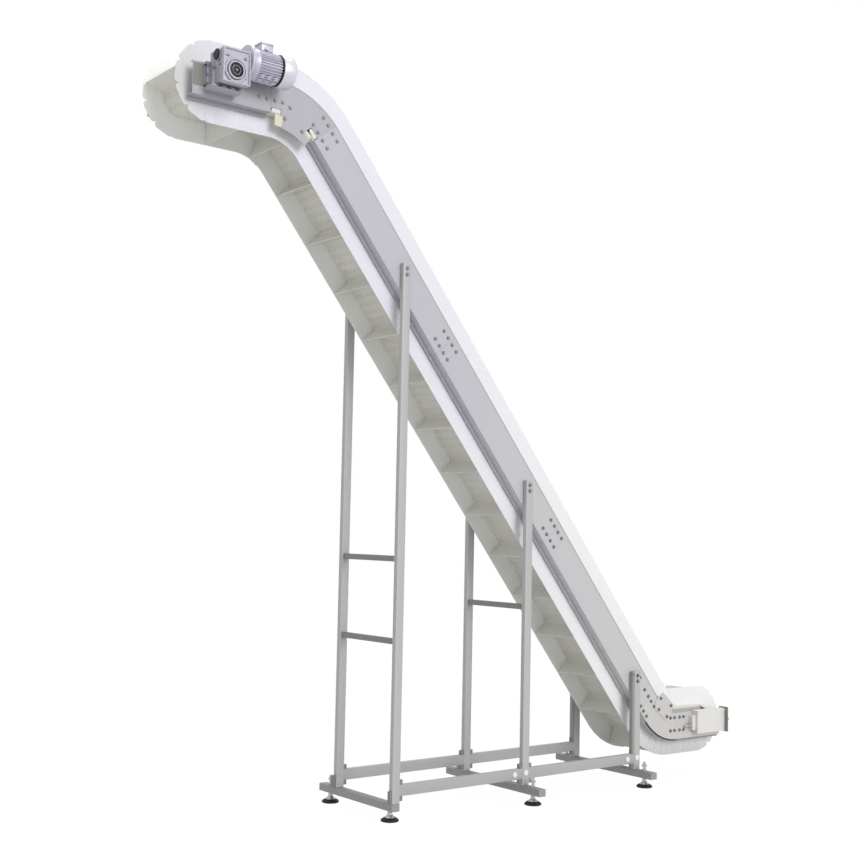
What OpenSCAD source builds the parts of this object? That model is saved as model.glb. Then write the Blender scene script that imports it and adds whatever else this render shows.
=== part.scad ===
// Inclined plate belt elevator with flights, a head drive and a bolted support stand.
// X runs along the elevator from the discharge head to the infeed, Y across it, Z up from the floor.

/* [Route of the belt] */
// Angle of the incline above the floor
incline_angle = 51.1; // [45:0.5:60]
// Incline length between the two corners of the belt centre line
incline_len = 4255; // [3600:10:5000]
// Head shaft to the upper corner
head_len = 522; // [480:5:800]
// Lower corner to the tail shaft
tail_len = 387; // [360:5:700]
// Tail shaft above the floor
tail_height = 337; // [320:1:420]
// Centre line radius of the upper bend
upper_r = 430; // [400:5:470]
// Centre line radius of the lower bend
lower_r = 255; // [240:5:300]

/* [Belt] */
// Shaft centre to the outer belt face
belt_face_r = 92; // [85:1:100]
// Thickness of the belt plates
belt_t = 14; // [8:1:18]
// Width of the belt plates
belt_w = 400; // [380:5:440]
// Inset of the side guards from the belt edge
guard_inset = 25; // [20:1:40]
// Height of the side guards above the belt
guard_h = 115; // [90:1:120]
// Thickness of a side guard
guard_t = 4; // [3:0.5:6]
// Spacing of the flights along the belt
flight_pitch = 304.8; // [250:0.1:420]
// Height of a flight
flight_h = 109; // [60:1:110]
// Thickness of a flight
flight_t = 8; // [5:1:14]
// Side gap between a flight and its guard
flight_gap = 2; // [1:0.5:6]
// Distance of the first flight along the loop
flight_shift = 294; // [0:1:300]

/* [Side plates] */
// Clearance between the belt edge and the side plates
side_gap = 36; // [30:1:48]
// Thickness of the side plates
plate_t = 4; // [3:0.5:8]
// Top edge of the plates above the belt centre line
plate_up = 60; // [50:1:66]
// Bottom edge of the plates below the belt centre line
plate_down = 100; // [100:1:104]
// Width of the bottom flange
flange_w = 50; // [36:1:54]
// Thickness of the bottom flange
flange_t = 4; // [3:0.5:5]
// Height of the down-turned lip at the flange edge
flange_lip = 16; // [10:1:20]
// Width of the top lip
lip_w = 18; // [10:1:22]
// Plate end beyond the head and tail shafts
plate_over = 143; // [130:1:170]
// Head seam before the upper corner
head_seam = 234; // [215:1:260]
// First incline seam after the upper corner
upper_seam = 165; // [160:1:200]
// Last incline seam before the lower corner
lower_seam = 208; // [180:1:240]
// Infeed seam after the lower corner
infeed_seam = 126; // [124:1:150]
// Open gap at a seam
seam_gap = 1; // [0.5:0.5:2]
// Length of a splice plate behind a seam
splice_len = 190; // [170:5:240]
// Height of a splice plate
splice_h = 116; // [100:1:120]
// Thickness of a splice plate
splice_t = 5; // [4:0.5:8]
// Notch length in the bend plate beside its seams
notch_len = 62; // [40:1:70]
// Notch height
notch_h = 26; // [20:1:36]
// Depth of the shoe lobe below the bend plate
lobe_h = 66; // [40:1:70]
// Inner radius of the cover over the lower bend
cover_in = 140; // [120:1:160]
// Outer radius of that cover
cover_out = 255; // [235:1:262]

/* [Support stand] */
// Spacing of the three post frames
post_pitch = 900; // [800:10:1000]
// Infeed post frame before the lower corner
post_back = 262; // [220:1:300]
// Post size along the elevator
post_x = 50; // [40:1:60]
// Post size across the elevator
post_y = 30; // [25:1:40]
// Post top below the plate edge, measured upright
post_drop = 80; // [40:1:110]
// Cross beam height
beam_h = 40; // [30:1:50]
// Cross beam underside above the floor
beam_z = 55; // [50:1:80]
// Cross beam reach outboard of the posts
beam_reach = 137; // [110:1:160]
// Base rail height
rail_h = 60; // [40:1:70]
// Base rail underside above the floor
rail_z = 130; // [110:1:160]
// Base rail thickness
rail_y = 25; // [20:1:30]
// Size of a square rung
rung = 30; // [20:1:40]
// Upper head frame rung
rung_z_upper = 1349; // [1200:1:1500]
// Lower head frame rung
rung_z_lower = 920; // [700:1:1100]
// Middle frame rung
rung_z_mid = 1080; // [900:1:1200]

/* [Feet] */
// Pad diameter
pad_d = 95; // [70:1:100]
// Pad thickness
pad_h = 16; // [10:1:24]
// Stud diameter
stud_d = 16; // [12:1:20]
// Foot reach outboard of the posts
foot_reach = 60; // [40:1:80]
// Inboard foot of the head frame, measured inward from the post face
foot_inboard = 50; // [48:1:70]

/* [Drive] */
// Shaft diameter
shaft_d = 35; // [30:1:40]
// Gap around a shaft in its side plate
shaft_gap = 4; // [2:0.5:6]
// Gap between the side plate and the gearbox
gear_gap = 28; // [20:1:40]
// Gearbox depth
gear_y = 131; // [110:1:140]
// Gearbox length before the output shaft
gear_front = 69; // [62:1:80]
// Gearbox length behind the output shaft
gear_back = 81; // [70:1:90]
// Gearbox depth below the output shaft
gear_below = 64; // [55:1:70]
// Gearbox height above the output shaft
gear_above = 106; // [100:1:112]
// Boss diameter
boss_d = 96; // [80:1:110]
// Boss stand-out
boss_out = 8; // [5:1:20]
// Worm axis above the output shaft
worm_up = 75; // [70:1:80]
// Motor flange diameter
motor_flange_d = 168; // [150:1:176]
// Motor flange thickness
motor_flange_t = 38; // [25:1:40]
// Motor body diameter
motor_d = 150; // [130:1:160]
// Motor body length
motor_len = 141; // [130:1:200]
// Fan cover diameter
fan_d = 160; // [140:1:166]
// Fan cover length
fan_len = 77; // [60:1:90]
// Terminal box size
box_size = 72; // [60:1:90]
// Terminal box place behind the motor flange
box_shift = 30; // [4:1:40]
// Terminal box top above the motor axis
box_top = 113; // [100:1:140]

/* [Tail] */
// Travel of the tail shaft to each side
take_travel = 28; // [20:1:34]
// Take-up housing length
take_len = 260; // [240:1:290]
// Take-up housing height
take_h = 142; // [120:1:150]
// Take-up housing depth
take_y = 46; // [30:1:60]
// Reach of the take-up end plate outboard of the side plate
end_reach = 70; // [60:1:90]
// Thickness of the take-up end plate
end_t = 6; // [4:1:10]

/* [Hidden] */
$fn = 48;
bend_steps = 18;
turn_steps = 24;

// Corners and centres of the belt centre line, as [x, z] with the upper corner over x = 0
run_dir = [cos(incline_angle), -sin(incline_angle)];
run_up = [sin(incline_angle), cos(incline_angle)];
upper_t = upper_r * tan(incline_angle / 2);
lower_t = lower_r * tan(incline_angle / 2);
lower_corner = [incline_len * run_dir[0], tail_height];
upper_corner = lower_corner - incline_len * run_dir;
head_c = upper_corner - [head_len, 0];
tail_c = lower_corner + [tail_len, 0];
upper_c = upper_corner - [upper_t, upper_r];
lower_c = lower_corner + [lower_t, lower_r];
guard_r = belt_face_r + guard_h;

// Places across the elevator
guard_y = belt_w / 2 - guard_inset;
plate_y = belt_w / 2 + side_gap + plate_t;
over = 1;
post_face = plate_y + post_y;
beam_end = post_face + beam_reach;
foot_y = post_face + foot_reach;
gear_face = plate_y + gear_gap;
gear_mid = gear_face + gear_y / 2;
boss_face = gear_face + gear_y + boss_out;
infeed_post_x = lower_corner[0] - post_back;
post_xs = [infeed_post_x - 2 * post_pitch, infeed_post_x - post_pitch, infeed_post_x];

// The whole elevator is moved so that its box is centred on the origin
mid_x = (head_c[0] - guard_r + tail_c[0] + guard_r) / 2;
mid_y = (beam_end - max(boss_face, beam_end, gear_mid + motor_flange_d / 2)) / 2;

// Points of the bends at a distance off above the centre line, from head to tail
function reverse(list) = [for (i = [len(list) - 1:-1:0]) list[i]];
function upper_arc(off) = [for (i = [0:bend_steps])
    let (t = incline_angle * i / bend_steps) upper_c + (upper_r + off) * [sin(t), cos(t)]];
function lower_arc(off) = [for (i = [0:bend_steps])
    let (t = incline_angle * (1 - i / bend_steps)) lower_c - (lower_r - off) * [sin(t), cos(t)]];
function head_turn(r) = [for (i = [0:turn_steps])
    let (t = 180 + 180 * i / turn_steps) head_c + r * [sin(t), cos(t)]];
function tail_turn(r) = [for (i = [0:turn_steps])
    let (t = 180 * i / turn_steps) tail_c + r * [sin(t), cos(t)]];
function plate_line(off) = concat([head_c + [-plate_over, off]], upper_arc(off), lower_arc(off),
    [tail_c + [plate_over, off]]);

// A flat shape drawn in x and z, standing from y0 to y1
module upright(y0, y1) {
    translate([0, y1, 0])
        rotate([90, 0, 0])
            linear_extrude(height = y1 - y0)
                children();
}

// The same on the near side for side = -1 and on the far side for side = 1
module on_side(side, from_y, to_y) {
    upright(side < 0 ? -to_y : from_y, side < 0 ? -from_y : to_y)
        children();
}

module placed() {
    translate([-mid_x, -mid_y, 0])
        children();
}

module box(x0, x1, y0, y1, z0, z1) {
    translate([x0, y0, z0])
        cube([x1 - x0, y1 - y0, z1 - z0]);
}

module across(x, z, y0, y1, d) {
    translate([x, y0, z])
        rotate([-90, 0, 0])
            cylinder(h = y1 - y0, d = d);
}

module along(x0, x1, y, z, d) {
    translate([x0, y, z])
        rotate([0, 90, 0])
            cylinder(h = x1 - x0, d = d);
}

// Bands between two offsets over each part of the route
module plate_band(low, high) {
    polygon(concat(plate_line(low), reverse(plate_line(high))));
}

module incline_window(s0, s1) {
    translate(upper_corner)
        rotate(-incline_angle)
            translate([s0, -guard_r * 1.5])
                square([s1 - s0, guard_r * 3]);
}

module x_window(x0, x1) {
    translate([x0, 0])
        square([x1 - x0, upper_corner[1] + guard_r * 2]);
}

plate_end = plate_over + head_len + 100;
first_seam = upper_seam;
last_seam = incline_len - lower_seam;
section_len = (last_seam - first_seam) / 3;
seams = [first_seam, first_seam + section_len, first_seam + 2 * section_len, last_seam];
head_seam_x = upper_corner[0] - head_seam;
infeed_seam_x = lower_corner[0] + infeed_seam;

module head_window() {
    x_window(head_c[0] - plate_end, head_seam_x - seam_gap / 2);
}

module upper_bend_window() {
    intersection() {
        x_window(head_seam_x + seam_gap / 2, upper_corner[0] + plate_end);
        incline_window(-plate_end, first_seam - seam_gap / 2);
    }
}

module section_window(i) {
    incline_window(seams[i] + seam_gap / 2, seams[i + 1] - seam_gap / 2);
}

module lower_bend_window() {
    intersection() {
        x_window(lower_corner[0] - plate_end, infeed_seam_x - seam_gap / 2);
        incline_window(last_seam + seam_gap / 2, incline_len + plate_end);
    }
}

module infeed_window() {
    x_window(infeed_seam_x + seam_gap / 2, tail_c[0] + plate_end);
}

// A side plate section cut to a window: the web, its top lip, its bottom flange and the flange's lip
module channel(side, lipped = true) {
    web = plate_y - plate_t;
    on_side(side, web, plate_y)
        intersection() {
            plate_band(-plate_down, plate_up);
            children();
        }
    on_side(side, web - lip_w, web)
        intersection() {
            plate_band(plate_up - flange_t, plate_up);
            children();
        }
    on_side(side, web - flange_w, web)
        intersection() {
            plate_band(-plate_down, flange_t - plate_down);
            children();
        }
    if (lipped)
        on_side(side, web - flange_w, web - flange_w + flange_t)
            intersection() {
                plate_band(-plate_down - flange_lip, -plate_down);
                children();
            }
}

module head_plate(side) {
    difference() {
        channel(side)
            head_window();
        across(head_c[0], head_c[1], -plate_y - over, plate_y + over, shaft_d + 2 * shaft_gap);
    }
}

// The bend plate has a lobe that carries the shoe, and a notch beside each seam
lobe_from = 9;
lobe_to = 41;

module lobe_band(t0, t1, r_in, r_out) {
    steps = 10;
    span = [for (i = [0:steps]) t0 + (t1 - t0) * i / steps];
    polygon(concat([for (t = span) upper_c + r_out * [sin(t), cos(t)]],
        reverse([for (t = span) upper_c + r_in * [sin(t), cos(t)]])));
}

module upper_bend_plate(side) {
    on_side(side, plate_y - plate_t, plate_y)
        difference() {
            union() {
                intersection() {
                    plate_band(-plate_down, plate_up);
                    upper_bend_window();
                }
                lobe_band(lobe_from, lobe_to, upper_r - plate_down - lobe_h,
                    upper_r - plate_down + flange_t);
            }
            translate([head_seam_x - over, upper_corner[1] - plate_down - over])
                square([notch_len, notch_h + over]);
            translate(upper_corner)
                rotate(-incline_angle)
                    translate([first_seam - notch_len, -plate_down - notch_h])
                        square([notch_len + over, 2 * notch_h]);
        }
    on_side(side, plate_y - plate_t - lip_w, plate_y - plate_t)
        intersection() {
            plate_band(plate_up - flange_t, plate_up);
            upper_bend_window();
        }
}

module incline_plates(side) {
    for (i = [0:2])
        channel(side)
            section_window(i);
}

module lower_bend_plate(side) {
    channel(side, lipped = false)
        lower_bend_window();
}

module infeed_plate(side) {
    difference() {
        channel(side, lipped = false)
            infeed_window();
        on_side(side, plate_y - plate_t - over, plate_y + over)
            hull()
                for (dx = [-take_travel, take_travel])
                    translate(tail_c + [dx, 0])
                        circle(d = shaft_d + 2 * shaft_gap);
    }
}

// Six sided cover outside each lower bend, with its corners at angles from straight down
cover_inner = [65, 15];
cover_mid = [61, 14];
cover_outer = [54, 23];
cover_cut = [36, 60];

function below(r, t) = lower_c - r * [sin(t), cos(t)];

module bend_cover_plates() {
    color("gainsboro")
        placed()
            for (side = [-1, 1])
                on_side(side, plate_y, plate_y + plate_t)
                    polygon([below(cover_out - cover_cut[0], cover_mid[0]),
                        below(cover_in, cover_inner[0]), below(cover_in, cover_inner[1]),
                        below(cover_out - cover_cut[1], cover_mid[1]),
                        below(cover_out, cover_outer[1]), below(cover_out, cover_outer[0])]);
}

// Doubling plates inside the five seams of each side
module splice_plates() {
    inner = plate_y - plate_t;
    mid = (plate_up - plate_down) / 2;
    color("silver")
        placed()
            for (side = [-1, 1])
                on_side(side, inner - splice_t, inner) {
                    for (s = seams)
                        translate(upper_corner)
                            rotate(-incline_angle)
                                translate([s - splice_len / 2, mid - splice_h / 2])
                                    square([splice_len, splice_h]);
                    for (x = [head_seam_x, infeed_seam_x])
                        translate([x - splice_len / 2,
                            (x < 0 ? upper_corner[1] : tail_height) + mid - splice_h / 2])
                            square([splice_len, splice_h]);
                }
}

// Round ties between the side plates, midway between the two belt runs
tie_d = 30;
tie_from_shaft = 130;

module cross_ties() {
    inner = plate_y - plate_t;
    color("silver")
        placed() {
            for (i = [0:2], part = [1:3])
                let (p = upper_corner + (seams[i] + section_len * part / 4) * run_dir)
                    across(p[0], p[1], -inner, inner, tie_d);
            across(head_c[0] + tie_from_shaft, head_c[1], -inner, inner, tie_d);
            across(tail_c[0] - tie_from_shaft, tail_c[1], -inner, inner, tie_d);
        }
}

// Strips between the flange and the return run, and strips on the top lip under the carrying run
strip_w = 24;
shaft_clear = 20;

module strip_band(side, low, high, from_y, to_y) {
    on_side(side, from_y, to_y)
        intersection() {
            plate_band(low, high);
            children();
        }
}

module return_strip(side) {
    strip_band(side, flange_t - plate_down, -belt_face_r, plate_y - plate_t - flange_w, belt_w / 2)
        children();
}

module carry_strip(side) {
    strip_band(side, plate_up, belt_face_r - belt_t, belt_w / 2 - strip_w,
        plate_y - plate_t - lip_w / 2)
        children();
}

module head_strip_window() {
    intersection() {
        head_window();
        x_window(head_c[0] + shaft_clear, head_seam_x);
    }
}

module infeed_strip_window() {
    intersection() {
        infeed_window();
        x_window(infeed_seam_x, tail_c[0] - shaft_clear);
    }
}

module wear_strips() {
    color("white")
        placed()
            for (side = [-1, 1]) {
                return_strip(side) head_strip_window();
                carry_strip(side) head_strip_window();
                carry_strip(side) upper_bend_window();
                for (i = [0:2]) {
                    return_strip(side) section_window(i);
                    carry_strip(side) section_window(i);
                }
                return_strip(side) lower_bend_window();
                carry_strip(side) lower_bend_window();
                return_strip(side) infeed_strip_window();
                carry_strip(side) infeed_strip_window();
            }
}

// Shoes that hold the belt edge down on the inside of each bend, with a leg behind the upper lobe
shoe_w = 22;
shoe_t = 8;
leg_t = 12;
leg_to = 40;
leg_rise = 8;

module hold_down_shoes() {
    web = plate_y - plate_t;
    shoe_edge = guard_y + 5;
    color("ivory")
        placed()
            for (side = [-1, 1]) {
                strip_band(side, -belt_face_r - shoe_t, -belt_face_r, shoe_edge, web)
                    upper_bend_window();
                on_side(side, web - leg_t, web)
                    lobe_band(0, leg_to, upper_r - plate_down - lobe_h + leg_rise,
                        upper_r - belt_face_r - shoe_t / 2);
                on_side(side, shoe_edge, plate_y)
                    polygon(concat(lower_arc(belt_face_r), reverse(lower_arc(belt_face_r + shoe_w))));
            }
}

// Support stand
function edge_z(x) = upper_corner[1] - (x - upper_corner[0]) * tan(incline_angle)
    + plate_up / cos(incline_angle);

module posts(i) {
    x = post_xs[i];
    color("lightgray")
        placed()
            for (y0 = [-post_face, plate_y])
                box(x - post_x / 2, x + post_x / 2, y0, y0 + post_y, beam_z + beam_h,
                    edge_z(x) - post_drop);
}

module cross_beams() {
    color("lightgray")
        placed()
            for (i = [0:2])
                box(post_xs[i] - post_x / 2, post_xs[i] + post_x / 2,
                    i == 0 ? -post_face : -beam_end, beam_end, beam_z, beam_z + beam_h);
}

module base_rails() {
    inset = (post_y - rail_y) / 2;
    color("lightgray")
        placed()
            for (i = [0:1], y0 = [-post_face + inset, plate_y + inset])
                box(post_xs[i] + post_x / 2, post_xs[i + 1] - post_x / 2, y0, y0 + rail_y,
                    rail_z, rail_z + rail_h);
}

module rung_at(x, z) {
    box(x - rung / 2, x + rung / 2, -plate_y, plate_y, z - rung / 2, z + rung / 2);
}

module frame_rungs() {
    color("lightgray")
        placed() {
            rung_at(post_xs[0], rung_z_upper);
            rung_at(post_xs[0], rung_z_lower);
            rung_at(post_xs[1], rung_z_mid);
        }
}

// A rubber pad with a steel cone and stud below the beam, and the nut and stud end above it
module foot(x, y) {
    cone_h = beam_z - pad_h - 12;
    translate([x, y, 0]) {
        cylinder(h = pad_h, d = pad_d);
        translate([0, 0, pad_h])
            cylinder(h = cone_h, d1 = pad_d * 0.62, d2 = stud_d + 8);
        translate([0, 0, pad_h + cone_h])
            cylinder(h = 12, d = stud_d + 10, $fn = 6);
        translate([0, 0, beam_z + beam_h])
            cylinder(h = 12, d = stud_d + 10, $fn = 6);
        translate([0, 0, beam_z + beam_h + 12])
            cylinder(h = 22, d = stud_d);
    }
}

module levelling_feet() {
    color("dimgray")
        placed()
            for (i = [0:2]) {
                foot(post_xs[i], i == 0 ? -post_face + foot_inboard : -foot_y);
                foot(post_xs[i], foot_y);
            }
}

// Drive at the near end of the head shaft
worm_z = head_c[1] + worm_up;
gear_x1 = head_c[0] + gear_back;
motor_x = gear_x1 + motor_flange_t;
fan_x = motor_x + motor_len;

module gearbox() {
    cap_d = 52;
    color("silver")
        placed()
            difference() {
                union() {
                    box(head_c[0] - gear_front, gear_x1, -gear_face - gear_y, -gear_face,
                        head_c[1] - gear_below, head_c[1] + gear_above);
                    across(head_c[0], head_c[1], -boss_face, -gear_face - gear_y, boss_d);
                    along(head_c[0] - gear_front - 14, head_c[0] - gear_front, -gear_mid, worm_z,
                        cap_d);
                }
                across(head_c[0], head_c[1], -boss_face - over, -gear_face + over, shaft_d);
            }
}

module gearbox_bracket() {
    reach = 18;
    shelf_t = 10;
    bore = shaft_d + 2 * shaft_gap;
    color("gainsboro")
        placed()
            difference() {
                union() {
                    box(head_c[0] - gear_front - reach, gear_x1, -gear_face, -plate_y,
                        head_c[1] - gear_below - shelf_t, head_c[1] + plate_up);
                    box(head_c[0] - gear_front - reach, gear_x1, -gear_mid,
                        -gear_face, head_c[1] - gear_below - shelf_t, head_c[1] - gear_below);
                }
                across(head_c[0], head_c[1], -gear_face - over, -plate_y + over, bore);
            }
}

module motor() {
    color("silver")
        placed() {
            along(gear_x1, motor_x, -gear_mid, worm_z, motor_flange_d);
            along(motor_x, fan_x, -gear_mid, worm_z, motor_d);
        }
}

module fan_cover() {
    color("silver")
        placed()
            along(fan_x, fan_x + fan_len, -gear_mid, worm_z, fan_d);
}

module terminal_box() {
    color("silver")
        placed()
            difference() {
                box(motor_x + box_shift, motor_x + box_shift + box_size, -gear_mid - box_size / 2,
                    -gear_mid + box_size / 2, worm_z + motor_d / 2 - 16, worm_z + box_top);
                along(motor_x, motor_x + box_shift + box_size + over, -gear_mid, worm_z, motor_d);
            }
}

module head_shaft() {
    color("lightgray")
        placed()
            across(head_c[0], head_c[1], -boss_face + 6, plate_y + 60, shaft_d);
}

sprocket_ys = [for (k = [-1.5:1:1.5]) k * belt_w / 4];
sprocket_t = 30;

module sprockets(c) {
    color("white")
        placed()
            for (y = sprocket_ys)
                difference() {
                    across(c[0], c[1], y - sprocket_t / 2, y + sprocket_t / 2,
                        2 * (belt_face_r - belt_t));
                    across(c[0], c[1], y - sprocket_t, y + sprocket_t, shaft_d);
                }
}

module flange_bearing(x, z, side) {
    difference() {
        union() {
            on_side(side, plate_y, plate_y + 14)
                hull()
                    for (dx = [-38, 38], dz = [-38, 38])
                        translate([x + dx, z + dz])
                            circle(d = 24);
            across(x, z, side < 0 ? -plate_y - 36 : plate_y, side < 0 ? -plate_y : plate_y + 36, 72);
        }
        across(x, z, -plate_y - 40, plate_y + 40, shaft_d);
    }
}

module head_bearing() {
    color("silver")
        placed()
            flange_bearing(head_c[0], head_c[1], 1);
}

module tail_shaft() {
    reach = plate_y + take_y - 12;
    color("lightgray")
        placed()
            across(tail_c[0], tail_c[1], -reach, reach, shaft_d);
}

// Housing over each tail bearing with the end plate that its screw pulls against
module take_up_units() {
    x0 = tail_c[0] + plate_over - take_len;
    z0 = tail_c[1] - 74;
    color("lightgray")
        placed()
            for (side = [-1, 1])
                difference() {
                    union() {
                        on_side(side, plate_y, plate_y + take_y)
                            translate([x0, z0])
                                square([take_len, take_h]);
                        on_side(side, plate_y, plate_y + end_reach)
                            translate([tail_c[0] + plate_over, z0 - 4])
                                square([end_t, take_h + 12]);
                    }
                    across(tail_c[0], tail_c[1], -plate_y - take_y + 12, plate_y + take_y - 12,
                        shaft_d);
                }
}

// Belt plates
module belt_slab() {
    upright(-belt_w / 2, belt_w / 2)
        children();
}

module head_ring(low, high) {
    polygon(concat(head_turn(high), upper_arc(high), reverse(upper_arc(low)),
        reverse(head_turn(low)), upper_arc(-low), reverse(upper_arc(-high))));
}

module tail_ring(low, high) {
    polygon(concat(lower_arc(high), tail_turn(high), reverse(lower_arc(-high)),
        lower_arc(-low), reverse(tail_turn(low)), reverse(lower_arc(low))));
}

module incline_bands(low, high) {
    for (d = [low, -high])
        translate(upper_corner)
            rotate(-incline_angle)
                translate([upper_t, d])
                    square([incline_len - upper_t - lower_t, high - low]);
}

module belt_head_turn() {
    color("white")
        placed()
            belt_slab()
                head_ring(belt_face_r - belt_t, belt_face_r);
}

module belt_incline_runs() {
    color("white")
        placed()
            belt_slab()
                incline_bands(belt_face_r - belt_t, belt_face_r);
}

module belt_infeed_turn() {
    color("white")
        placed()
            belt_slab()
                tail_ring(belt_face_r - belt_t, belt_face_r);
}

// Side guards
module guard_slab(side) {
    on_side(side, guard_y - guard_t, guard_y)
        children();
}

module head_guards(side) {
    color("white")
        placed()
            guard_slab(side)
                head_ring(belt_face_r, guard_r);
}

module incline_guards(side) {
    color("white")
        placed()
            guard_slab(side)
                incline_bands(belt_face_r, guard_r);
}

module infeed_guards(side) {
    color("white")
        placed()
            guard_slab(side)
                tail_ring(belt_face_r, guard_r);
}

// Flights at even steps along the pitch line of the loop
pitch_off = belt_face_r - belt_t / 2;
turn_rad = incline_angle * PI / 180;
head_straight = head_len - upper_t;
run_straight = incline_len - upper_t - lower_t;
tail_straight = tail_len - lower_t;
part_lens = [head_straight, (upper_r + pitch_off) * turn_rad, run_straight,
    (lower_r - pitch_off) * turn_rad, tail_straight, PI * pitch_off, tail_straight,
    (lower_r + pitch_off) * turn_rad, run_straight, (upper_r - pitch_off) * turn_rad,
    head_straight, PI * pitch_off];
function sum_to(i) = i <= 0 ? 0 : part_lens[i - 1] + sum_to(i - 1);
loop_len = sum_to(len(part_lens));
upper_start = upper_corner + upper_t * run_dir;
lower_start = lower_corner - lower_t * run_dir;

// Where a point of the loop lies: its foot on the centre line and the turn of its normal from +Z
function on_part(i, f) =
    i == 0 ? [head_c + [f * head_straight, 0], 0] :
    i == 1 ? [upper_c + upper_r * [sin(f * incline_angle), cos(f * incline_angle)],
        f * incline_angle] :
    i == 2 ? [upper_start + f * run_straight * run_dir, incline_angle] :
    i == 3 ? [lower_c - lower_r * [sin((1 - f) * incline_angle), cos((1 - f) * incline_angle)],
        (1 - f) * incline_angle] :
    i == 4 ? [tail_c - [(1 - f) * tail_straight, 0], 0] :
    i == 5 ? [tail_c, 180 * f] :
    i == 6 ? [tail_c - [f * tail_straight, 0], 180] :
    i == 7 ? [lower_c - lower_r * [sin(f * incline_angle), cos(f * incline_angle)],
        180 + f * incline_angle] :
    i == 8 ? [lower_start - f * run_straight * run_dir, 180 + incline_angle] :
    i == 9 ? [upper_c + upper_r * [sin((1 - f) * incline_angle), cos((1 - f) * incline_angle)],
        180 + (1 - f) * incline_angle] :
    i == 10 ? [head_c + [(1 - f) * head_straight, 0], 180] :
    [head_c, 180 + 180 * f];
function on_loop(d, i = 0) =
    i == len(part_lens) ? on_loop(d) :
    d < part_lens[i] ? on_part(i, d / part_lens[i]) :
    on_loop(d - part_lens[i], i + 1);

module flights() {
    half = guard_y - guard_t - flight_gap;
    color("white")
        placed()
            for (k = [0:floor(loop_len / flight_pitch) - 1])
                let (p = on_loop(flight_shift + k * flight_pitch))
                    translate([p[0][0], 0, p[0][1]])
                        rotate([0, p[1], 0])
                            box(-flight_t / 2, flight_t / 2, -half, half, belt_face_r,
                                belt_face_r + flight_h);
}

module steel_side(tone) {
    color(tone)
        placed()
            children();
}

cross_beams();
base_rails();
posts(0);  // head_posts
posts(1);  // mid_posts
posts(2);  // infeed_posts
frame_rungs();
levelling_feet();
steel_side("lightgray") head_plate(-1);  // near_head_plate
steel_side("lightgray") head_plate(1);  // far_head_plate
steel_side("gainsboro") upper_bend_plate(-1);  // near_upper_bend_plate
steel_side("gainsboro") upper_bend_plate(1);  // far_upper_bend_plate
steel_side("lightgray") incline_plates(-1);  // near_incline_plates
steel_side("lightgray") incline_plates(1);  // far_incline_plates
steel_side("gainsboro") lower_bend_plate(-1);  // near_lower_bend_plate
steel_side("gainsboro") lower_bend_plate(1);  // far_lower_bend_plate
steel_side("lightgray") infeed_plate(-1);  // near_infeed_plate
steel_side("lightgray") infeed_plate(1);  // far_infeed_plate
bend_cover_plates();
splice_plates();
cross_ties();
wear_strips();
hold_down_shoes();
gearbox();
gearbox_bracket();
motor();
fan_cover();
terminal_box();
head_shaft();
sprockets(head_c);  // head_sprockets
head_bearing();
tail_shaft();
sprockets(tail_c);  // tail_sprockets
take_up_units();
belt_head_turn();
belt_incline_runs();
belt_infeed_turn();
flights();
head_guards(-1);  // near_head_guards
head_guards(1);  // far_head_guards
incline_guards(-1);  // near_incline_guards
incline_guards(1);  // far_incline_guards
infeed_guards(-1);  // near_infeed_guards
infeed_guards(1);  // far_infeed_guards
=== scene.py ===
# Chain plate elevator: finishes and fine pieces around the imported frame, in metres
import math
import bmesh
import bpy
import numpy as np
from mathutils import Matrix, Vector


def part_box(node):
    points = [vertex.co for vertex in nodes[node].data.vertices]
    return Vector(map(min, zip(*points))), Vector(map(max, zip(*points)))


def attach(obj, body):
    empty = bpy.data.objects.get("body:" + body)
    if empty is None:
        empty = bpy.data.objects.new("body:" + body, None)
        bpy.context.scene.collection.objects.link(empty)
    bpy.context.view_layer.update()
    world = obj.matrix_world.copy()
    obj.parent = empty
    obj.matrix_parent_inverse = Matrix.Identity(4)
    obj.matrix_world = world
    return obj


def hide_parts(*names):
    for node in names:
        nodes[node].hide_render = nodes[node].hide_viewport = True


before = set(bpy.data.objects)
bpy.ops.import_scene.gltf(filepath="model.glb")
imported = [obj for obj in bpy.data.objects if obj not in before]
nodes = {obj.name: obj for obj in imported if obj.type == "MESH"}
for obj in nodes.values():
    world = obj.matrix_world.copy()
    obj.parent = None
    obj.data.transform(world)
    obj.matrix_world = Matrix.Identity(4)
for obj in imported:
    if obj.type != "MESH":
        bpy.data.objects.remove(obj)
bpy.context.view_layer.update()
print("frame loaded, nodes:", len(nodes))

# Camera at the photograph's viewing angle: place, turn about the upright, tilt up, roll, focal length in pixels
view = {"place": (-4.716, -5.673, 1.516), "yaw": 38.192, "pitch": 4.156, "roll": 1.150,
        "focalPx": 1292.66, "framePx": 867, "sensor": 36.0}


# Adds an object for some data to the scene
def addObject(name, data):
    made = bpy.data.objects.new(name, data)
    bpy.context.scene.collection.objects.link(made)
    return made


# Matrix with the given columns: rightward, upward, backward and place
def columnsMatrix(*columns):
    turn = np.eye(4)
    turn[:3, :len(columns)] = np.column_stack(columns)
    return Matrix(turn.tolist())


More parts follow.
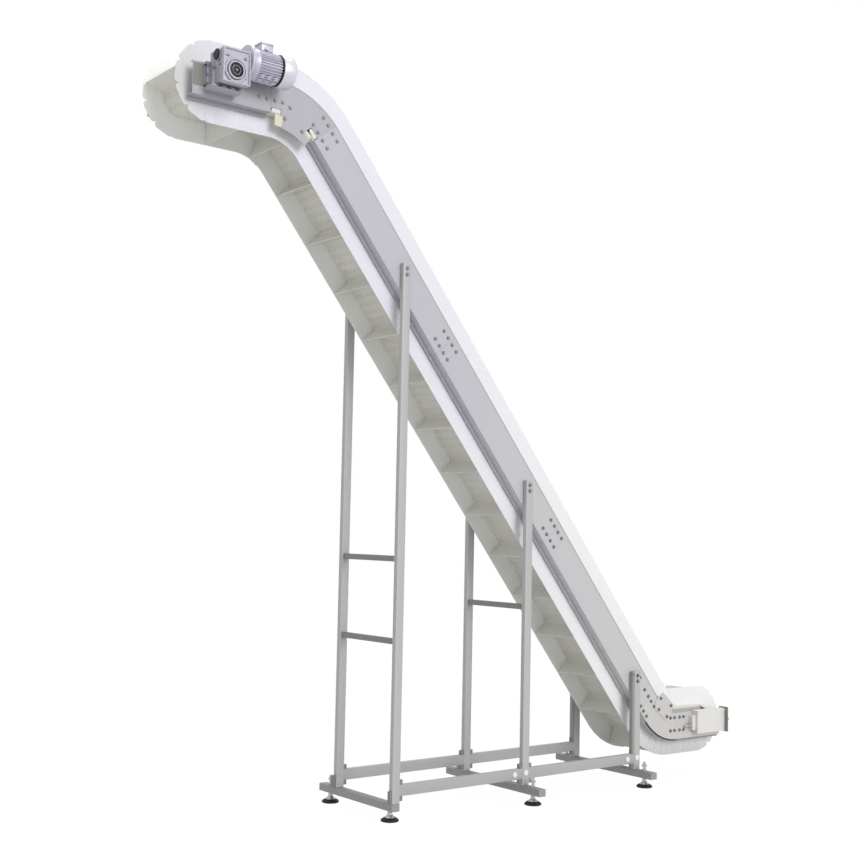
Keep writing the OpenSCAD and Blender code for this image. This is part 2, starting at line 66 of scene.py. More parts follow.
# The camera's axes: forward from the turn and the tilt, the other two turned about it by the roll
def addCamera():
    yaw, pitch, roll = (math.radians(view[key]) for key in ("yaw", "pitch", "roll"))
    forward = np.array([math.sin(yaw) * math.cos(pitch), math.cos(yaw) * math.cos(pitch), math.sin(pitch)])
    level = np.array([math.cos(yaw), -math.sin(yaw), 0.0])
    upright = np.cross(level, forward)
    rightward = math.cos(roll) * level + math.sin(roll) * upright
    upward = math.cos(roll) * upright - math.sin(roll) * level
    data = bpy.data.cameras.new("photoCamera")
    data.sensor_width = view["sensor"]
    data.lens = view["focalPx"] * view["sensor"] / view["framePx"]
    data.clip_end = 60
    camera = addObject("photoCamera", data)
    camera.matrix_world = columnsMatrix(rightward, upward, -forward, view["place"])
    bpy.context.scene.camera = camera


addCamera()
print("camera set")

# Route of the belt, read off the two shafts
route = {"headLen": 0.522, "tailLen": 0.387, "upperR": 0.430, "lowerR": 0.255,
         "beltFace": 0.092, "beltT": 0.014, "link": 0.0508}


# Middle of a node's box: half the sum of its two corners
def middleOf(node):
    low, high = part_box(node)
    return np.array([(low.x + high.x) / 2, (low.y + high.y) / 2, (low.z + high.z) / 2])


headC = middleOf("head_sprockets")[[0, 2]]
tailC = middleOf("tail_sprockets")[[0, 2]]
beltY = middleOf("belt_incline_runs")[1]
beltHalf = (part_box("belt_incline_runs")[1].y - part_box("belt_incline_runs")[0].y) / 2
upperCorner = headC + [route["headLen"], 0]
lowerCorner = tailC - [route["tailLen"], 0]
incline = math.atan2(upperCorner[1] - lowerCorner[1], lowerCorner[0] - upperCorner[0])
inclineLen = float(np.hypot(*(lowerCorner - upperCorner)))
runDir = np.array([math.cos(incline), -math.sin(incline)])
runUp = np.array([math.sin(incline), math.cos(incline)])
upperCut = route["upperR"] * math.tan(incline / 2)
lowerCut = route["lowerR"] * math.tan(incline / 2)
upperC = upperCorner - [upperCut, route["upperR"]]
lowerC = lowerCorner + [lowerCut, route["lowerR"]]
pitchOff = route["beltFace"] - route["beltT"] / 2

# The loop in twelve parts: from point, to point, signed radius, first tilt, last tilt, length on the pitch line
bendIn = upperCorner - [upperCut, 0]
bendOut = upperCorner + upperCut * runDir
footIn = lowerCorner - lowerCut * runDir
footOut = lowerCorner + [lowerCut, 0]
upperR, lowerR = route["upperR"], route["lowerR"]
headRun, tailRun = route["headLen"] - upperCut, route["tailLen"] - lowerCut
inclineRun = inclineLen - upperCut - lowerCut
loopParts = [
    (headC, bendIn, 0, 0, 0, headRun),
    (upperC, upperC, upperR, 0, incline, (upperR + pitchOff) * incline),
    (bendOut, footIn, 0, incline, incline, inclineRun),
    (lowerC, lowerC, -lowerR, incline, 0, (lowerR - pitchOff) * incline),
    (footOut, tailC, 0, 0, 0, tailRun),
    (tailC, tailC, 0, 0, math.pi, math.pi * pitchOff),
    (tailC, footOut, 0, math.pi, math.pi, tailRun),
    (lowerC, lowerC, lowerR, math.pi, math.pi + incline, (lowerR + pitchOff) * incline),
    (footIn, bendOut, 0, math.pi + incline, math.pi + incline, inclineRun),
    (upperC, upperC, -upperR, math.pi + incline, math.pi, (upperR - pitchOff) * incline),
    (bendIn, headC, 0, math.pi, math.pi, headRun),
    (headC, headC, 0, math.pi, 2 * math.pi, math.pi * pitchOff)]
partFrom = np.array([p[0] for p in loopParts])
partTo = np.array([p[1] for p in loopParts])
partRadius, tiltFrom, tiltTo, partLen = (np.array([p[i] for p in loopParts], float) for i in (2, 3, 4, 5))
partEnd = np.cumsum(partLen)
partStart = partEnd - partLen
loopLen = float(partEnd[-1])
linkCount = int(round(loopLen / route["link"]))
linkStep = loopLen / linkCount
headParts, inclineParts, infeedParts = (9, 10, 11, 0, 1), (2, 8), (3, 4, 5, 6, 7)


# Point and tilt at distance d: the start point moved evenly to the end point, plus the radius along the normal,
# where the normal is (sine of tilt, cosine of tilt) and the tilt runs evenly from its first to its last value
def onLoop(d):
    d = np.mod(d, loopLen)
    part = np.minimum(np.searchsorted(partEnd, d, side="right"), len(loopParts) - 1)
    share = (d - partStart[part]) / partLen[part]
    tilt = tiltFrom[part] + share * (tiltTo[part] - tiltFrom[part])
    normal = np.stack([np.sin(tilt), np.cos(tilt)], -1)
    place = partFrom[part] + share[..., None] * (partTo[part] - partFrom[part])
    return place + partRadius[part][..., None] * normal, tilt, part


# A shell is its points, its quads and its larger faces
def joinShells(shells):
    points, quads, gons, base = [], [], [], 0
    for p, q, g in shells:
        points.append(p)
        quads.append(q + base)
        gons += [[i + base for i in face] for face in g]
        base += len(p)
    return np.concatenate(points), np.concatenate(quads), gons


# Skin over rings of points: quads between neighbouring rings, and a flat face over each end ring
def skinRings(rings, capped=True):
    count, size = rings.shape[:2]
    i, j = np.meshgrid(np.arange(count - 1), np.arange(size), indexing="ij")
    nextJ = (j + 1) % size
    low, high = i * size, (i + 1) * size
    quads = np.stack([low + j, low + nextJ, high + nextJ, high + j], -1).reshape(-1, 4)
    gons = [list(range(size))[::-1], list(range((count - 1) * size, count * size))] if capped else []
    return rings.reshape(-1, 3), quads, gons


axisOrder = {"x": (2, 0, 1), "y": (0, 2, 1), "z": (0, 1, 2)}


# Flat outlines placed at stations along an axis: (a, b, station) is put into x, y, z order
def ringsAlong(axis, centre, outlines, stations):
    flat = np.stack([np.column_stack([o, np.full(len(o), s)]) for o, s in zip(outlines, stations)])
    return flat[..., list(axisOrder[axis])] + np.asarray(centre, float)


# Turned shape: a circle of each radius at each place along the axis, counted from the start
def turned(axis, centre, profile, segments=40, start=0.0):
    angle = np.linspace(0, 2 * np.pi, segments, endpoint=False)
    circle = np.column_stack([np.cos(angle), np.sin(angle)])
    return skinRings(ringsAlong(axis, centre, [circle * r for _, r in profile], [start + s for s, _ in profile]))


# Profile of a nut: its full radius, and a little less at both ends
def nutProfile(radius, long):
    return [(0, radius - 0.001), (0.001, radius), (long - 0.001, radius), (long, radius - 0.001)]


# Rectangle with a quarter circle of the given radius at each corner
def roundedRect(halfA, halfB, radius, steps=5):
    radius = max(min(radius, halfA - 1e-4, halfB - 1e-4), 1e-4)
    quarter = np.linspace(0, np.pi / 2, steps)
    arcs = [np.column_stack([sa * (halfA - radius) + radius * np.cos(quarter + turn),
                             sb * (halfB - radius) + radius * np.sin(quarter + turn)])
            for sa, sb, turn in ((1, 1, 0), (-1, 1, np.pi / 2), (-1, -1, np.pi), (1, -1, 3 * np.pi / 2))]
    return np.concatenate(arcs)


# Block between two corners with a rounded outline across one axis and small chamfers at its ends
def softBlock(low, high, axis, radius=0.004, chamfer=0.0015):
    low, high = np.asarray(low, float), np.asarray(high, float)
    along = "xyz".index(axis)
    a, b = {"x": (1, 2), "y": (0, 2), "z": (0, 1)}[axis]
    halfA, halfB = (high[a] - low[a]) / 2, (high[b] - low[b]) / 2
    centre = (low + high) / 2
    centre[along] = 0
    rings = [(low[along], chamfer), (low[along] + chamfer, 0), (high[along] - chamfer, 0), (high[along], chamfer)]
    outlines = [roundedRect(halfA - inset, halfB - inset, radius) for _, inset in rings]
    return skinRings(ringsAlong(axis, centre, outlines, [s for s, _ in rings]))


# Copies of one shell: each point is turned by its copy's matrix and moved to its copy's place
def scatter(shell, turns, places):
    points, quads, gons = shell
    count, size = len(places), len(points)
    moved = np.einsum("kij,nj->kni", turns, points) + places[:, None, :]
    shift = (np.arange(count) * size)[:, None, None]
    allGons = [[i + k * size for i in face] for k in range(count) for face in gons]
    return moved.reshape(-1, 3), (quads[None] + shift).reshape(-1, 4), allGons


# Copies along the loop: a local point (along, across, up) sits at lift plus up above the centre line
def scatterOnLoop(shell, distances, lift, y):
    place, tilt, _ = onLoop(np.asarray(distances, float))
    zero, one = np.zeros_like(tilt), np.ones_like(tilt)
    turns = np.stack([np.stack([np.cos(tilt), zero, np.sin(tilt)], -1), np.stack([zero, one, zero], -1),
                      np.stack([-np.sin(tilt), zero, np.cos(tilt)], -1)], 1)
    foot = place + lift * np.stack([np.sin(tilt), np.cos(tilt)], -1)
    return scatter(shell, turns, np.stack([foot[:, 0], np.full(len(foot), y), foot[:, 1]], -1))


# Adds a shell as a piece on the root with its finish, and hides the nodes that it stands for
def addPiece(name, shell, material, replaced=(), sharp=32):
    points, quads, gons = shell
    mesh = bpy.data.meshes.new(name)
    mesh.from_pydata(points.tolist(), [], quads.tolist() + gons)
    work = bmesh.new()
    work.from_mesh(mesh)
    bmesh.ops.recalc_face_normals(work, faces=work.faces)
    work.to_mesh(mesh)
    work.free()
    mesh.materials.append(material)
    mesh.shade_smooth()
    mesh.set_sharp_from_angle(angle=math.radians(sharp))
    piece = addObject(name, mesh)
    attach(piece, "root")
    if replaced:
        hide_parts(*replaced)
    return piece


# Effects that several materials use, as node groups
def newGroup(name, inputs, outputs):
    group = bpy.data.node_groups.new(name, "ShaderNodeTree")
    for label, value in inputs.items():
        kind = "Float" if isinstance(value, float) else "Color" if value and len(value) == 4 else "Vector"
        socket = group.interface.new_socket(label, in_out="INPUT", socket_type="NodeSocket" + kind)
        if value:
            socket.default_value = value
    for label, kind in outputs.items():
        group.interface.new_socket(label, in_out="OUTPUT", socket_type="NodeSocket" + kind)
    return group, group.nodes.new("NodeGroupInput"), group.nodes.new("NodeGroupOutput")


# Gives a node's inputs their values, by label or by number
def setInputs(node, values):
    for label, value in values.items():
        node.inputs[label].default_value = value


# Adds a shader node with its settings and its inputs' values
def addNode(tree, kind, inputs=None, **settings):
    node = tree.nodes.new("ShaderNode" + kind)
    for key, value in settings.items():
        setattr(node, key, value)
    setInputs(node, inputs or {})
    return node


# Links in a tree, each as node, output, node, input
def wire(tree, *links):
    for source, output, target, label in links:
        tree.links.new(source.outputs[output], target.inputs[label])


# Mottle: two scales of noise mix a base colour towards a second one, and give a height for a bump
def buildMottle():
    inputs = {"Vector": None, "Base": (0.7, 0.7, 0.7, 1), "Second": (0.6, 0.6, 0.6, 1), "Large": 2.0, "Fine": 60.0,
              "Amount": 0.5}
    group, into, out = newGroup("mottle", inputs, {"Color": "Color", "Height": "Float"})
    large = addNode(group, "TexNoise", inputs={"Detail": 3.0, "Roughness": 0.55})
    fine = addNode(group, "TexNoise", inputs={"Detail": 4.0, "Roughness": 0.6})
    mixer = addNode(group, "Math", operation="MULTIPLY")
    scale = addNode(group, "Math", operation="MULTIPLY")
    blend = addNode(group, "Mix", data_type="RGBA")
    wire(group, (into, "Vector", large, "Vector"), (into, "Vector", fine, "Vector"), (into, "Large", large, "Scale"),
         (into, "Fine", fine, "Scale"), (large, "Fac", mixer, 0), (fine, "Fac", mixer, 1), (mixer, 0, scale, 0),
         (into, "Amount", scale, 1), (scale, 0, blend, "Factor"), (into, "Base", blend, "A"),
         (into, "Second", blend, "B"), (blend, "Result", out, "Color"), (fine, "Fac", out, "Height"))
    return group


# Grain: noise stretched along the local x axis, as drawn or brushed sheet has
def buildGrain():
    inputs = {"Vector": None, "Stretch": (2, 60, 60), "Scale": 8.0}
    group, into, out = newGroup("grain", inputs, {"Mask": "Float"})
    stretch = addNode(group, "VectorMath", operation="MULTIPLY")
    noise = addNode(group, "TexNoise", inputs={"Detail": 3.0, "Roughness": 0.6})
    wire(group, (into, "Vector", stretch, 0), (into, "Stretch", stretch, 1), (stretch, 0, noise, "Vector"),
         (into, "Scale", noise, "Scale"), (noise, "Fac", out, "Mask"))
    return group


# Wear: soft spots where a coarse noise passes a threshold, for scuffs and dull patches
def buildWear():
    inputs = {"Vector": None, "Scale": 12.0, "Low": 0.55, "High": 0.7}
    group, into, out = newGroup("wear", inputs, {"Mask": "Float"})
    noise = addNode(group, "TexNoise", inputs={"Detail": 5.0, "Roughness": 0.65, "Distortion": 0.4})
    edge = addNode(group, "MapRange", interpolation_type="SMOOTHSTEP")
    wire(group, (into, "Vector", noise, "Vector"), (into, "Scale", noise, "Scale"), (noise, "Fac", edge, "Value"),
         (into, "Low", edge, "From Min"), (into, "High", edge, "From Max"), (edge, "Result", out, "Mask"))
    return group


mottleGroup, grainGroup, wearGroup = buildMottle(), buildGrain(), buildWear()


# Stretches of x and z over which a finish fades to a painted light level and darkens with painted shade towards the
# floor, as in the photograph
paintedLightSpan = (-1.2, 1.2)
floorShadeSpan = (0.10, 0.42)


# A colour multiplied by a painted shade that runs smoothly from one colour to another over a span of an object axis
def shadeAlong(tree, place, source, axis, span, first, last):
    parted = addNode(tree, "SeparateXYZ")
    ramp = addNode(tree, "MapRange", interpolation_type="SMOOTHSTEP",
                   inputs={"From Min": span[0], "From Max": span[1]})
    shade = addNode(tree, "Mix", data_type="RGBA", inputs={"A": (*first, 1), "B": (*last, 1)})
    shaded = addNode(tree, "Mix", data_type="RGBA", blend_type="MULTIPLY", inputs={"Factor": 1.0})
    wire(tree, (place, "Object", parted, "Vector"), (parted, axis, ramp, "Value"),
         (ramp, "Result", shade, "Factor"), (shade, "Result", shaded, "B"))
    tree.links.new(source, shaded.inputs["A"])
    return shaded.outputs["Result"]


# A finish: colours as linear values, with mottle in the colour, grain or pitting in the bump, wear in the roughness;
# painted light and shade fades in the colour where given
def finish(name, base, second, rough, metallic=0.0, large=2.0, fine=80.0, amount=0.8, grain=None, bump=0.05,
           bumpDistance=0.0004, wear=0.12, wearScale=9.0, subsurface=0.0, specular=0.5, tilt=0.0, paintedLightLevel=None,
           span=paintedLightSpan, paintedFloorShade=None):
    material = bpy.data.materials.new(name)
    material.use_nodes = True
    tree = material.node_tree
    shader = tree.nodes["Principled BSDF"]
    setInputs(shader, {"Metallic": metallic, "Specular IOR Level": specular})
    if subsurface:
        setInputs(shader, {"Subsurface Weight": subsurface, "Subsurface Radius": (1, 1, 1),
                           "Subsurface Scale": 0.003})
    place = addNode(tree, "TexCoord")
    turn = addNode(tree, "Mapping", inputs={"Rotation": (0, tilt, 0)})
    mottle = addNode(tree, "Group", node_tree=mottleGroup, inputs={
        "Base": (*base, 1), "Second": (*second, 1), "Large": large, "Fine": fine, "Amount": amount})
    worn = addNode(tree, "Group", node_tree=wearGroup, inputs={"Scale": wearScale})
    dull = addNode(tree, "Math", operation="MULTIPLY_ADD", inputs={1: wear, 2: rough})
    raised = addNode(tree, "Bump", inputs={"Strength": bump, "Distance": bumpDistance})
    wire(tree, (place, "Object", turn, "Vector"), (turn, "Vector", mottle, "Vector"),
         (turn, "Vector", worn, "Vector"), (worn, "Mask", dull, 0), (dull, 0, shader, "Roughness"),
         (raised, "Normal", shader, "Normal"))
    if grain:
        brushed = addNode(tree, "Group", node_tree=grainGroup, inputs={"Stretch": grain})
        wire(tree, (turn, "Vector", brushed, "Vector"), (brushed, "Mask", raised, "Height"))
    else:
        wire(tree, (mottle, "Height", raised, "Height"))
    source = mottle.outputs["Color"]
    # Painted light: the colour fades along x to a lighter or darker light level
    if paintedLightLevel:
        source = shadeAlong(tree, place, source, "X", span, (1, 1, 1), paintedLightLevel)
    # Painted shade: the colour darkens along z towards the floor
    if paintedFloorShade:
        source = shadeAlong(tree, place, source, "Z", floorShadeSpan, paintedFloorShade, (1, 1, 1))
    tree.links.new(source, shader.inputs["Base Color"])
    return material


# Settings that several finishes share
sheet = {"metallic": 0.15, "fine": 140, "grain": (3, 90, 90), "bump": 0.12}
tube = {"metallic": 0.2, "large": 1.0, "fine": 120, "bump": 0.12}
small = {"large": 20, "fine": 300, "bump": 0.1}
cast = {"metallic": 0.45, "large": 9, "amount": 1.0, "bump": 0.3, "bumpDistance": 0.0006, "wear": 0.2,
        "wearScale": 30}
moulded = {"large": 5, "fine": 120, "bump": 0.06, "subsurface": 0.15}
strip = {"large": 12, "fine": 140, "bump": 0.08}

# Sheet and tube, in linear colour. The side plate steels are one sheet in copies of painted light and shade: the head
# plate steel is darker as painted shade at the head, the lower plate steel lighter as painted light, and the incline
# plate steel fades along x to a painted light level
plateSteel = finish("plateSteel", (0.50, 0.487, 0.545), (0.44, 0.43, 0.485), 0.48, large=1.2, tilt=incline,
                    paintedLightLevel=(1.12, 1.14, 1.04), **sheet)
bendSteel = finish("bendSteel", (0.445, 0.435, 0.475), (0.39, 0.38, 0.42), 0.48, large=1.2, tilt=incline / 2, **sheet)
levelSteelPaintedShade = finish("levelSteelPaintedShade", (0.44, 0.43, 0.47), (0.385, 0.375, 0.415), 0.48, large=1.5, **sheet)
paleSteelPaintedLight = finish("paleSteelPaintedLight", (0.585, 0.575, 0.565), (0.52, 0.51, 0.50), 0.5, metallic=0.1, large=1.5, fine=140,
                   grain=(3, 90, 90), bump=0.10)
boxSteel = finish("boxSteel", (0.74, 0.725, 0.70), (0.66, 0.645, 0.62), 0.5, metallic=0.1, fine=140, bump=0.08)
shadeSteel = finish("shadeSteel", (0.255, 0.255, 0.24), (0.195, 0.195, 0.185), 0.5, metallic=0.2, large=3, fine=140,
                    bump=0.1)
postSteel = finish("postSteel", (0.485, 0.485, 0.485), (0.40, 0.40, 0.40), 0.45, grain=(120, 120, 3), **tube)
railSteel = finish("railSteel", (0.44, 0.44, 0.445), (0.37, 0.37, 0.375), 0.45, grain=(3, 120, 120), **tube)
beamSteel = finish("beamSteel", (0.33, 0.33, 0.325), (0.265, 0.265, 0.26), 0.45, grain=(120, 3, 120), **tube)
innerSteel = finish("innerSteel", (0.50, 0.50, 0.50), (0.42, 0.42, 0.42), 0.45, metallic=0.3, grain=(60, 3, 60),
                    bump=0.1)
shaftSteel = finish("shaftSteel", (0.48, 0.48, 0.49), (0.38, 0.38, 0.39), 0.30, metallic=0.85, grain=(90, 4, 90),
                    bump=0.1)
# Painted shade: the bolts darken along x towards the infeed end
boltSteel = finish("boltSteel", (0.33, 0.325, 0.34), (0.22, 0.217, 0.23), 0.4, metallic=0.5, paintedLightLevel=(0.62, 0.62, 0.60),
                   **small)
hubSteel = finish("hubSteel", (0.17, 0.168, 0.178), (0.09, 0.088, 0.096), 0.45, metallic=0.4, **small)
capSteel = finish("capSteel", (0.84, 0.84, 0.85), (0.76, 0.76, 0.77), 0.35, metallic=0.2, **small)
castSilver = finish("castSilver", (0.46, 0.45, 0.52), (0.28, 0.275, 0.33), 0.40, fine=260, **cast)
motorSilver = finish("motorSilver", (0.62, 0.605, 0.70), (0.37, 0.36, 0.435), 0.40, fine=240, **cast)
coverSilver = finish("coverSilver", (0.72, 0.705, 0.78), (0.60, 0.59, 0.66), 0.38, metallic=0.45, large=6, fine=200,
                     bump=0.08, wear=0.15, wearScale=20)
# Plastics
# Painted light: the guards lighten along x towards the infeed; painted shade darkens them towards the floor
guardWhite = finish("guardWhite", (0.83, 0.81, 0.90), (0.77, 0.755, 0.84), 0.5, paintedLightLevel=(1.05, 1.07, 0.985),
                    paintedFloorShade=(0.68, 0.685, 0.69), **moulded)
# A darker copy of the guard plastic for the head guards, as painted shade, fading along x to painted light towards
# the bend
headGuardPaintedShade = finish("headGuardPaintedShade", (0.71, 0.715, 0.71), (0.66, 0.665, 0.66), 0.5, paintedLightLevel=(1.17, 1.135, 1.27),
                        span=(-1.99, -1.76), **moulded)
# A lighter copy of the guard plastic for the far guards, as painted light, with painted shade towards the floor
farGuardPaintedLight = finish("farGuardPaintedLight", (0.97, 0.97, 0.95), (0.92, 0.92, 0.895), 0.5, paintedFloorShade=(0.80, 0.80, 0.80),
                       **moulded)
# Belt and flight plastic is white; its colour is darkened to a grey-beige as painted shade in the cells
beltWhite = finish("beltWhite", (0.78, 0.775, 0.725), (0.60, 0.595, 0.545), 0.55, large=4, fine=90, amount=1.0,
                   bump=0.1, subsurface=0.1)
flightWhite = finish("flightWhite", (0.80, 0.795, 0.75), (0.68, 0.675, 0.63), 0.5, large=5, fine=110, amount=1.0,
                     bump=0.08, subsurface=0.15)
stripCream = finish("stripCream", (0.74, 0.73, 0.58), (0.62, 0.61, 0.48), 0.5, subsurface=0.1, **strip)
stripGrey = finish("stripGrey", (0.42, 0.42, 0.41), (0.34, 0.34, 0.33), 0.5, **strip)
sprocketWhite = finish("sprocketWhite", (0.78, 0.78, 0.75), (0.68, 0.68, 0.65), 0.5, **strip)
footBlack = finish("footBlack", (0.012, 0.012, 0.014), (0.03, 0.03, 0.033), 0.5, large=20, fine=220, bump=0.25,
                   wear=0.25, wearScale=40, specular=0.25)
capBlack = finish("capBlack", (0.012, 0.012, 0.014), (0.03, 0.03, 0.034), 0.4, large=20, fine=260, bump=0.1,
                  specular=0.2)
print("materials made")

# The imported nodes' own finishes; the guards take the guard plastic
cadFinishes = (
    (levelSteelPaintedShade, "near_head_plate far_head_plate gearbox_bracket"),
    (bendSteel, "near_upper_bend_plate far_upper_bend_plate"),
    (plateSteel, "near_incline_plates far_incline_plates"),
    (paleSteelPaintedLight, "near_lower_bend_plate far_lower_bend_plate near_infeed_plate far_infeed_plate bend_cover_plates "
                "take_up_units"),
    (innerSteel, "splice_plates cross_ties"),
    (shaftSteel, "head_shaft tail_shaft"),
    (postSteel, "head_posts mid_posts infeed_posts"),
    (railSteel, "base_rails"),
    (beamSteel, "cross_beams frame_rungs"),
    (castSilver, "head_bearing gearbox"),
    (motorSilver, "motor terminal_box"),
    (coverSilver, "fan_cover"),
    (stripGrey, "wear_strips"),
    (stripCream, "hold_down_shoes"),
    (sprocketWhite, "head_sprockets tail_sprockets"),
    (flightWhite, "flights"),
    (beltWhite, "belt_head_turn belt_incline_runs belt_infeed_turn"),
    (footBlack, "levelling_feet"))
finishOf = {nodeName: given for given, names in cadFinishes for nodeName in names.split()}
for nodeName, cadPiece in nodes.items():
    cadPiece.data.materials.clear()
    cadPiece.data.materials.append(finishOf.get(nodeName, guardWhite))

# Side guards: one lapped plate to each belt link
guard = {"height": 0.111, "baseHalf": 0.031, "topHalf": 0.061, "corner": 0.030, "thick": 0.002, "lean": 0.018,
         "sink": 0.005, "y": 0.173, "columns": 17, "rows": 5}


# One guard plate: across parameter a from -1 to 1, up parameter b from 0 to 1. The half width grows evenly upwards,
# the top edge drops in a quarter circle at each corner, and the plate leans across the belt in step with its place
def guardPlate(side):
    tall, topHalf, corner, thick = (guard[key] for key in ("height", "topHalf", "corner", "thick"))
    a = np.sin(np.linspace(-np.pi / 2, np.pi / 2, guard["columns"]))
    b = np.linspace(0, 1, guard["rows"])
    across, up = np.meshgrid(a, b, indexing="ij")
    beyond = np.clip((np.abs(across) * topHalf - topHalf + corner) / corner, 0, 1)
    top = tall - corner * (1 - np.sqrt(1 - beyond ** 2))
    height = -guard["sink"] + up * (top + guard["sink"])
    half = guard["baseHalf"] + (topHalf - guard["baseHalf"]) * np.clip(height / tall, 0, 1)
    along = across * half
    middle = side * guard["lean"] * along
    inner = np.stack([along, middle - thick / 2, height], -1)
    outer = np.stack([along, middle + thick / 2, height], -1)
    return skinRings(np.concatenate([inner, outer[:, ::-1]], 1))


linkPlaces = (np.arange(linkCount) + 0.5) * linkStep
_, _, linkPart = onLoop(linkPlaces)
for sideName, side in (("near", -1), ("far", 1)):
    for stretch, parts in (("head", headParts), ("incline", inclineParts), ("infeed", infeedParts)):
        chosen = linkPlaces[np.isin(linkPart, parts)]
        shell = scatterOnLoop(guardPlate(side), chosen, route["beltFace"], beltY + side * guard["y"])
        white = farGuardPaintedLight if side > 0 else headGuardPaintedShade if stretch == "head" else guardWhite
        addPiece(f"{sideName}{stretch.capitalize()}GuardPlates", shell, white,
                 (f"{sideName}_{stretch}_guards",), sharp=40)
print("guards made:", 2 * linkCount)

# Belt links: places of the cross lines within a link, and how deep the hinge grooves go
links = {"marks": (-0.008, -0.006, -0.004, 0.004, 0.006, 0.008, 0.017, 0.034), "groove": 0.0035, "fingers": 16,
         "near": 1, "far": 4, "innerGroove": 0.004}


# Belt strip between two distances: rings across the belt, the outer face cut by a hinge groove that steps from one
# mark to another with each finger, the inner face by a groove at both marks
def beltStrip(start, end):
    first, last = int(math.ceil(start / linkStep)), int(math.floor(end / linkStep))
    marks = np.array(links["marks"])
    d = (np.arange(first, last + 1)[:, None] * linkStep + marks[None, :]).ravel()
    kind = np.tile(np.arange(len(marks)), last + 1 - first)
    inside = (d > start + 1e-4) & (d < end - 1e-4)
    d = np.concatenate([[start], d[inside], [end]])
    kind = np.concatenate([[-1], kind[inside], [-1]])
    columns = 2 * links["fingers"] + 1
    y = np.linspace(-beltHalf, beltHalf, columns)
    even = (np.arange(columns) // 2) % 2 == 0
    cut = np.where(even[None, :], (kind == links["near"])[:, None], (kind == links["far"])[:, None])
    outer = route["beltFace"] - links["groove"] * cut
    low = route["beltFace"] - route["beltT"] + links["innerGroove"] * np.isin(kind, (links["near"], links["far"]))
    inner = np.repeat(low[:, None], columns, 1)
    place, tilt, _ = onLoop(d)
    normal = np.stack([np.sin(tilt), np.cos(tilt)], -1)
    height = np.concatenate([outer, inner[:, ::-1]], 1)
    width = np.concatenate([y, y[::-1]])
    flat = place[:, None, :] + height[..., None] * normal[:, None, :]
    rings = np.stack([flat[..., 0], np.broadcast_to(beltY + width, height.shape), flat[..., 1]], -1)
    return skinRings(rings)


addPiece("headBeltLinks", beltStrip(partStart[9] - loopLen, partEnd[1]), beltWhite,
         ("belt_head_turn",), sharp=25)
addPiece("inclineBeltLinks", joinShells([beltStrip(partStart[2], partEnd[2]), beltStrip(partStart[8], partEnd[8])]),
         beltWhite, ("belt_incline_runs",), sharp=25)
addPiece("infeedBeltLinks", beltStrip(partStart[3], partEnd[7]), beltWhite,
         ("belt_infeed_turn",), sharp=25)
print("belt made:", linkCount, "links")

# Flights: the first one's distance, their spacing and their shape
flight = {"shift": 0.294, "step": 0.3048, "height": 0.109, "half": 0.169, "rootHalf": 0.004, "tipHalf": 0.0025,
          "fillet": 0.007, "corner": 0.014, "sink": 0.003}


# One flight: its half thickness narrows evenly to the tip and widens into a fillet at the root by an exponential;
# carried across the belt, its top falls in a quarter circle near each end
def flightBlade():
    tall, wide, root, tip, corner = (flight[key] for key in ("height", "half", "rootHalf", "tipHalf", "corner"))
    quarter, fine = np.linspace(0, np.pi / 2, 4), np.linspace(0, np.pi / 2, 6)
    up = np.concatenate([[-flight["sink"], 0, 0.002, 0.005, 0.010, 0.018, 0.05], tall - tip * (1 - np.sin(quarter))])
    half = root + (tip - root) * np.clip(up / tall, 0, 1)
    half = half + flight["fillet"] * np.exp(-np.maximum(up, 0) / 0.004)
    half[-3:] = tip * np.cos(quarter)[1:] + 2e-4
    half[0] = half[1]
    u = np.concatenate([half, -half[::-1]])
    v = np.concatenate([up, up[::-1]])
    y = np.concatenate([-wide + corner * (1 - np.cos(fine)), [-0.08, 0, 0.08],
                        wide - corner * (1 - np.cos(fine[::-1]))])
    beyond = np.clip((np.abs(y) - wide + corner) / corner, 0, 1)
    drop = corner * (1 - np.sqrt(np.maximum(1 - beyond ** 2, 0)))
    high = np.where(v[None, :] > 0, v[None, :] * (1 - drop[:, None] / tall), v[None, :])
    rings = np.stack([np.broadcast_to(u, high.shape), np.broadcast_to(y[:, None], high.shape), high], -1)
    return skinRings(rings)


flightPlaces = flight["shift"] + flight["step"] * np.arange(int(loopLen // flight["step"]))
addPiece("flightBlades", scatterOnLoop(flightBlade(), flightPlaces, route["beltFace"], beltY), flightWhite,
         ("flights",))
print("flights made:", len(flightPlaces))

# Sprockets: a toothed outline carried along the shaft
sprocket = {"teeth": 10, "root": 0.070, "tip": 0.078, "bore": 0.0178, "width": 0.030, "hub": 0.034, "hubOut": 0.006}


# Toothed wheel: radius is the root plus a tooth height times a flattened cosine of the turn
def sprocketShell(centre, y):
    w, root, hub, bore, out = sprocket["width"] / 2, *(sprocket[key] for key in ("root", "hub", "bore", "hubOut"))
    angle = np.linspace(0, 2 * np.pi, sprocket["teeth"] * 10, endpoint=False)
    wave = np.clip(0.5 + 1.3 * np.cos(angle * sprocket["teeth"]), 0, 1)
    disc = np.column_stack([np.cos(angle), np.sin(angle)])
    toothed = disc * (root + (sprocket["tip"] - root) * wave)[:, None]
    half = [(-w - out, disc * bore), (-w - out, disc * hub), (-w, disc * hub), (-w, toothed * 0.97),
            (-w + 0.002, toothed)]
    both = half + [(-s, outline) for s, outline in half[::-1]]
    rings = ringsAlong("y", (centre[0], y, centre[1]), [outline for _, outline in both], [s for s, _ in both])
    return skinRings(np.concatenate([rings, rings[:1]]), capped=False)


for place, end in ((headC, "head"), (tailC, "tail")):
    wheels = [sprocketShell(place, beltY + k * beltHalf / 2) for k in (-1.5, -0.5, 0.5, 1.5)]
    addPiece(f"{end}ToothedWheels", joinShells(wheels), sprocketWhite, (f"{end}_sprockets",))
print("sprockets made")

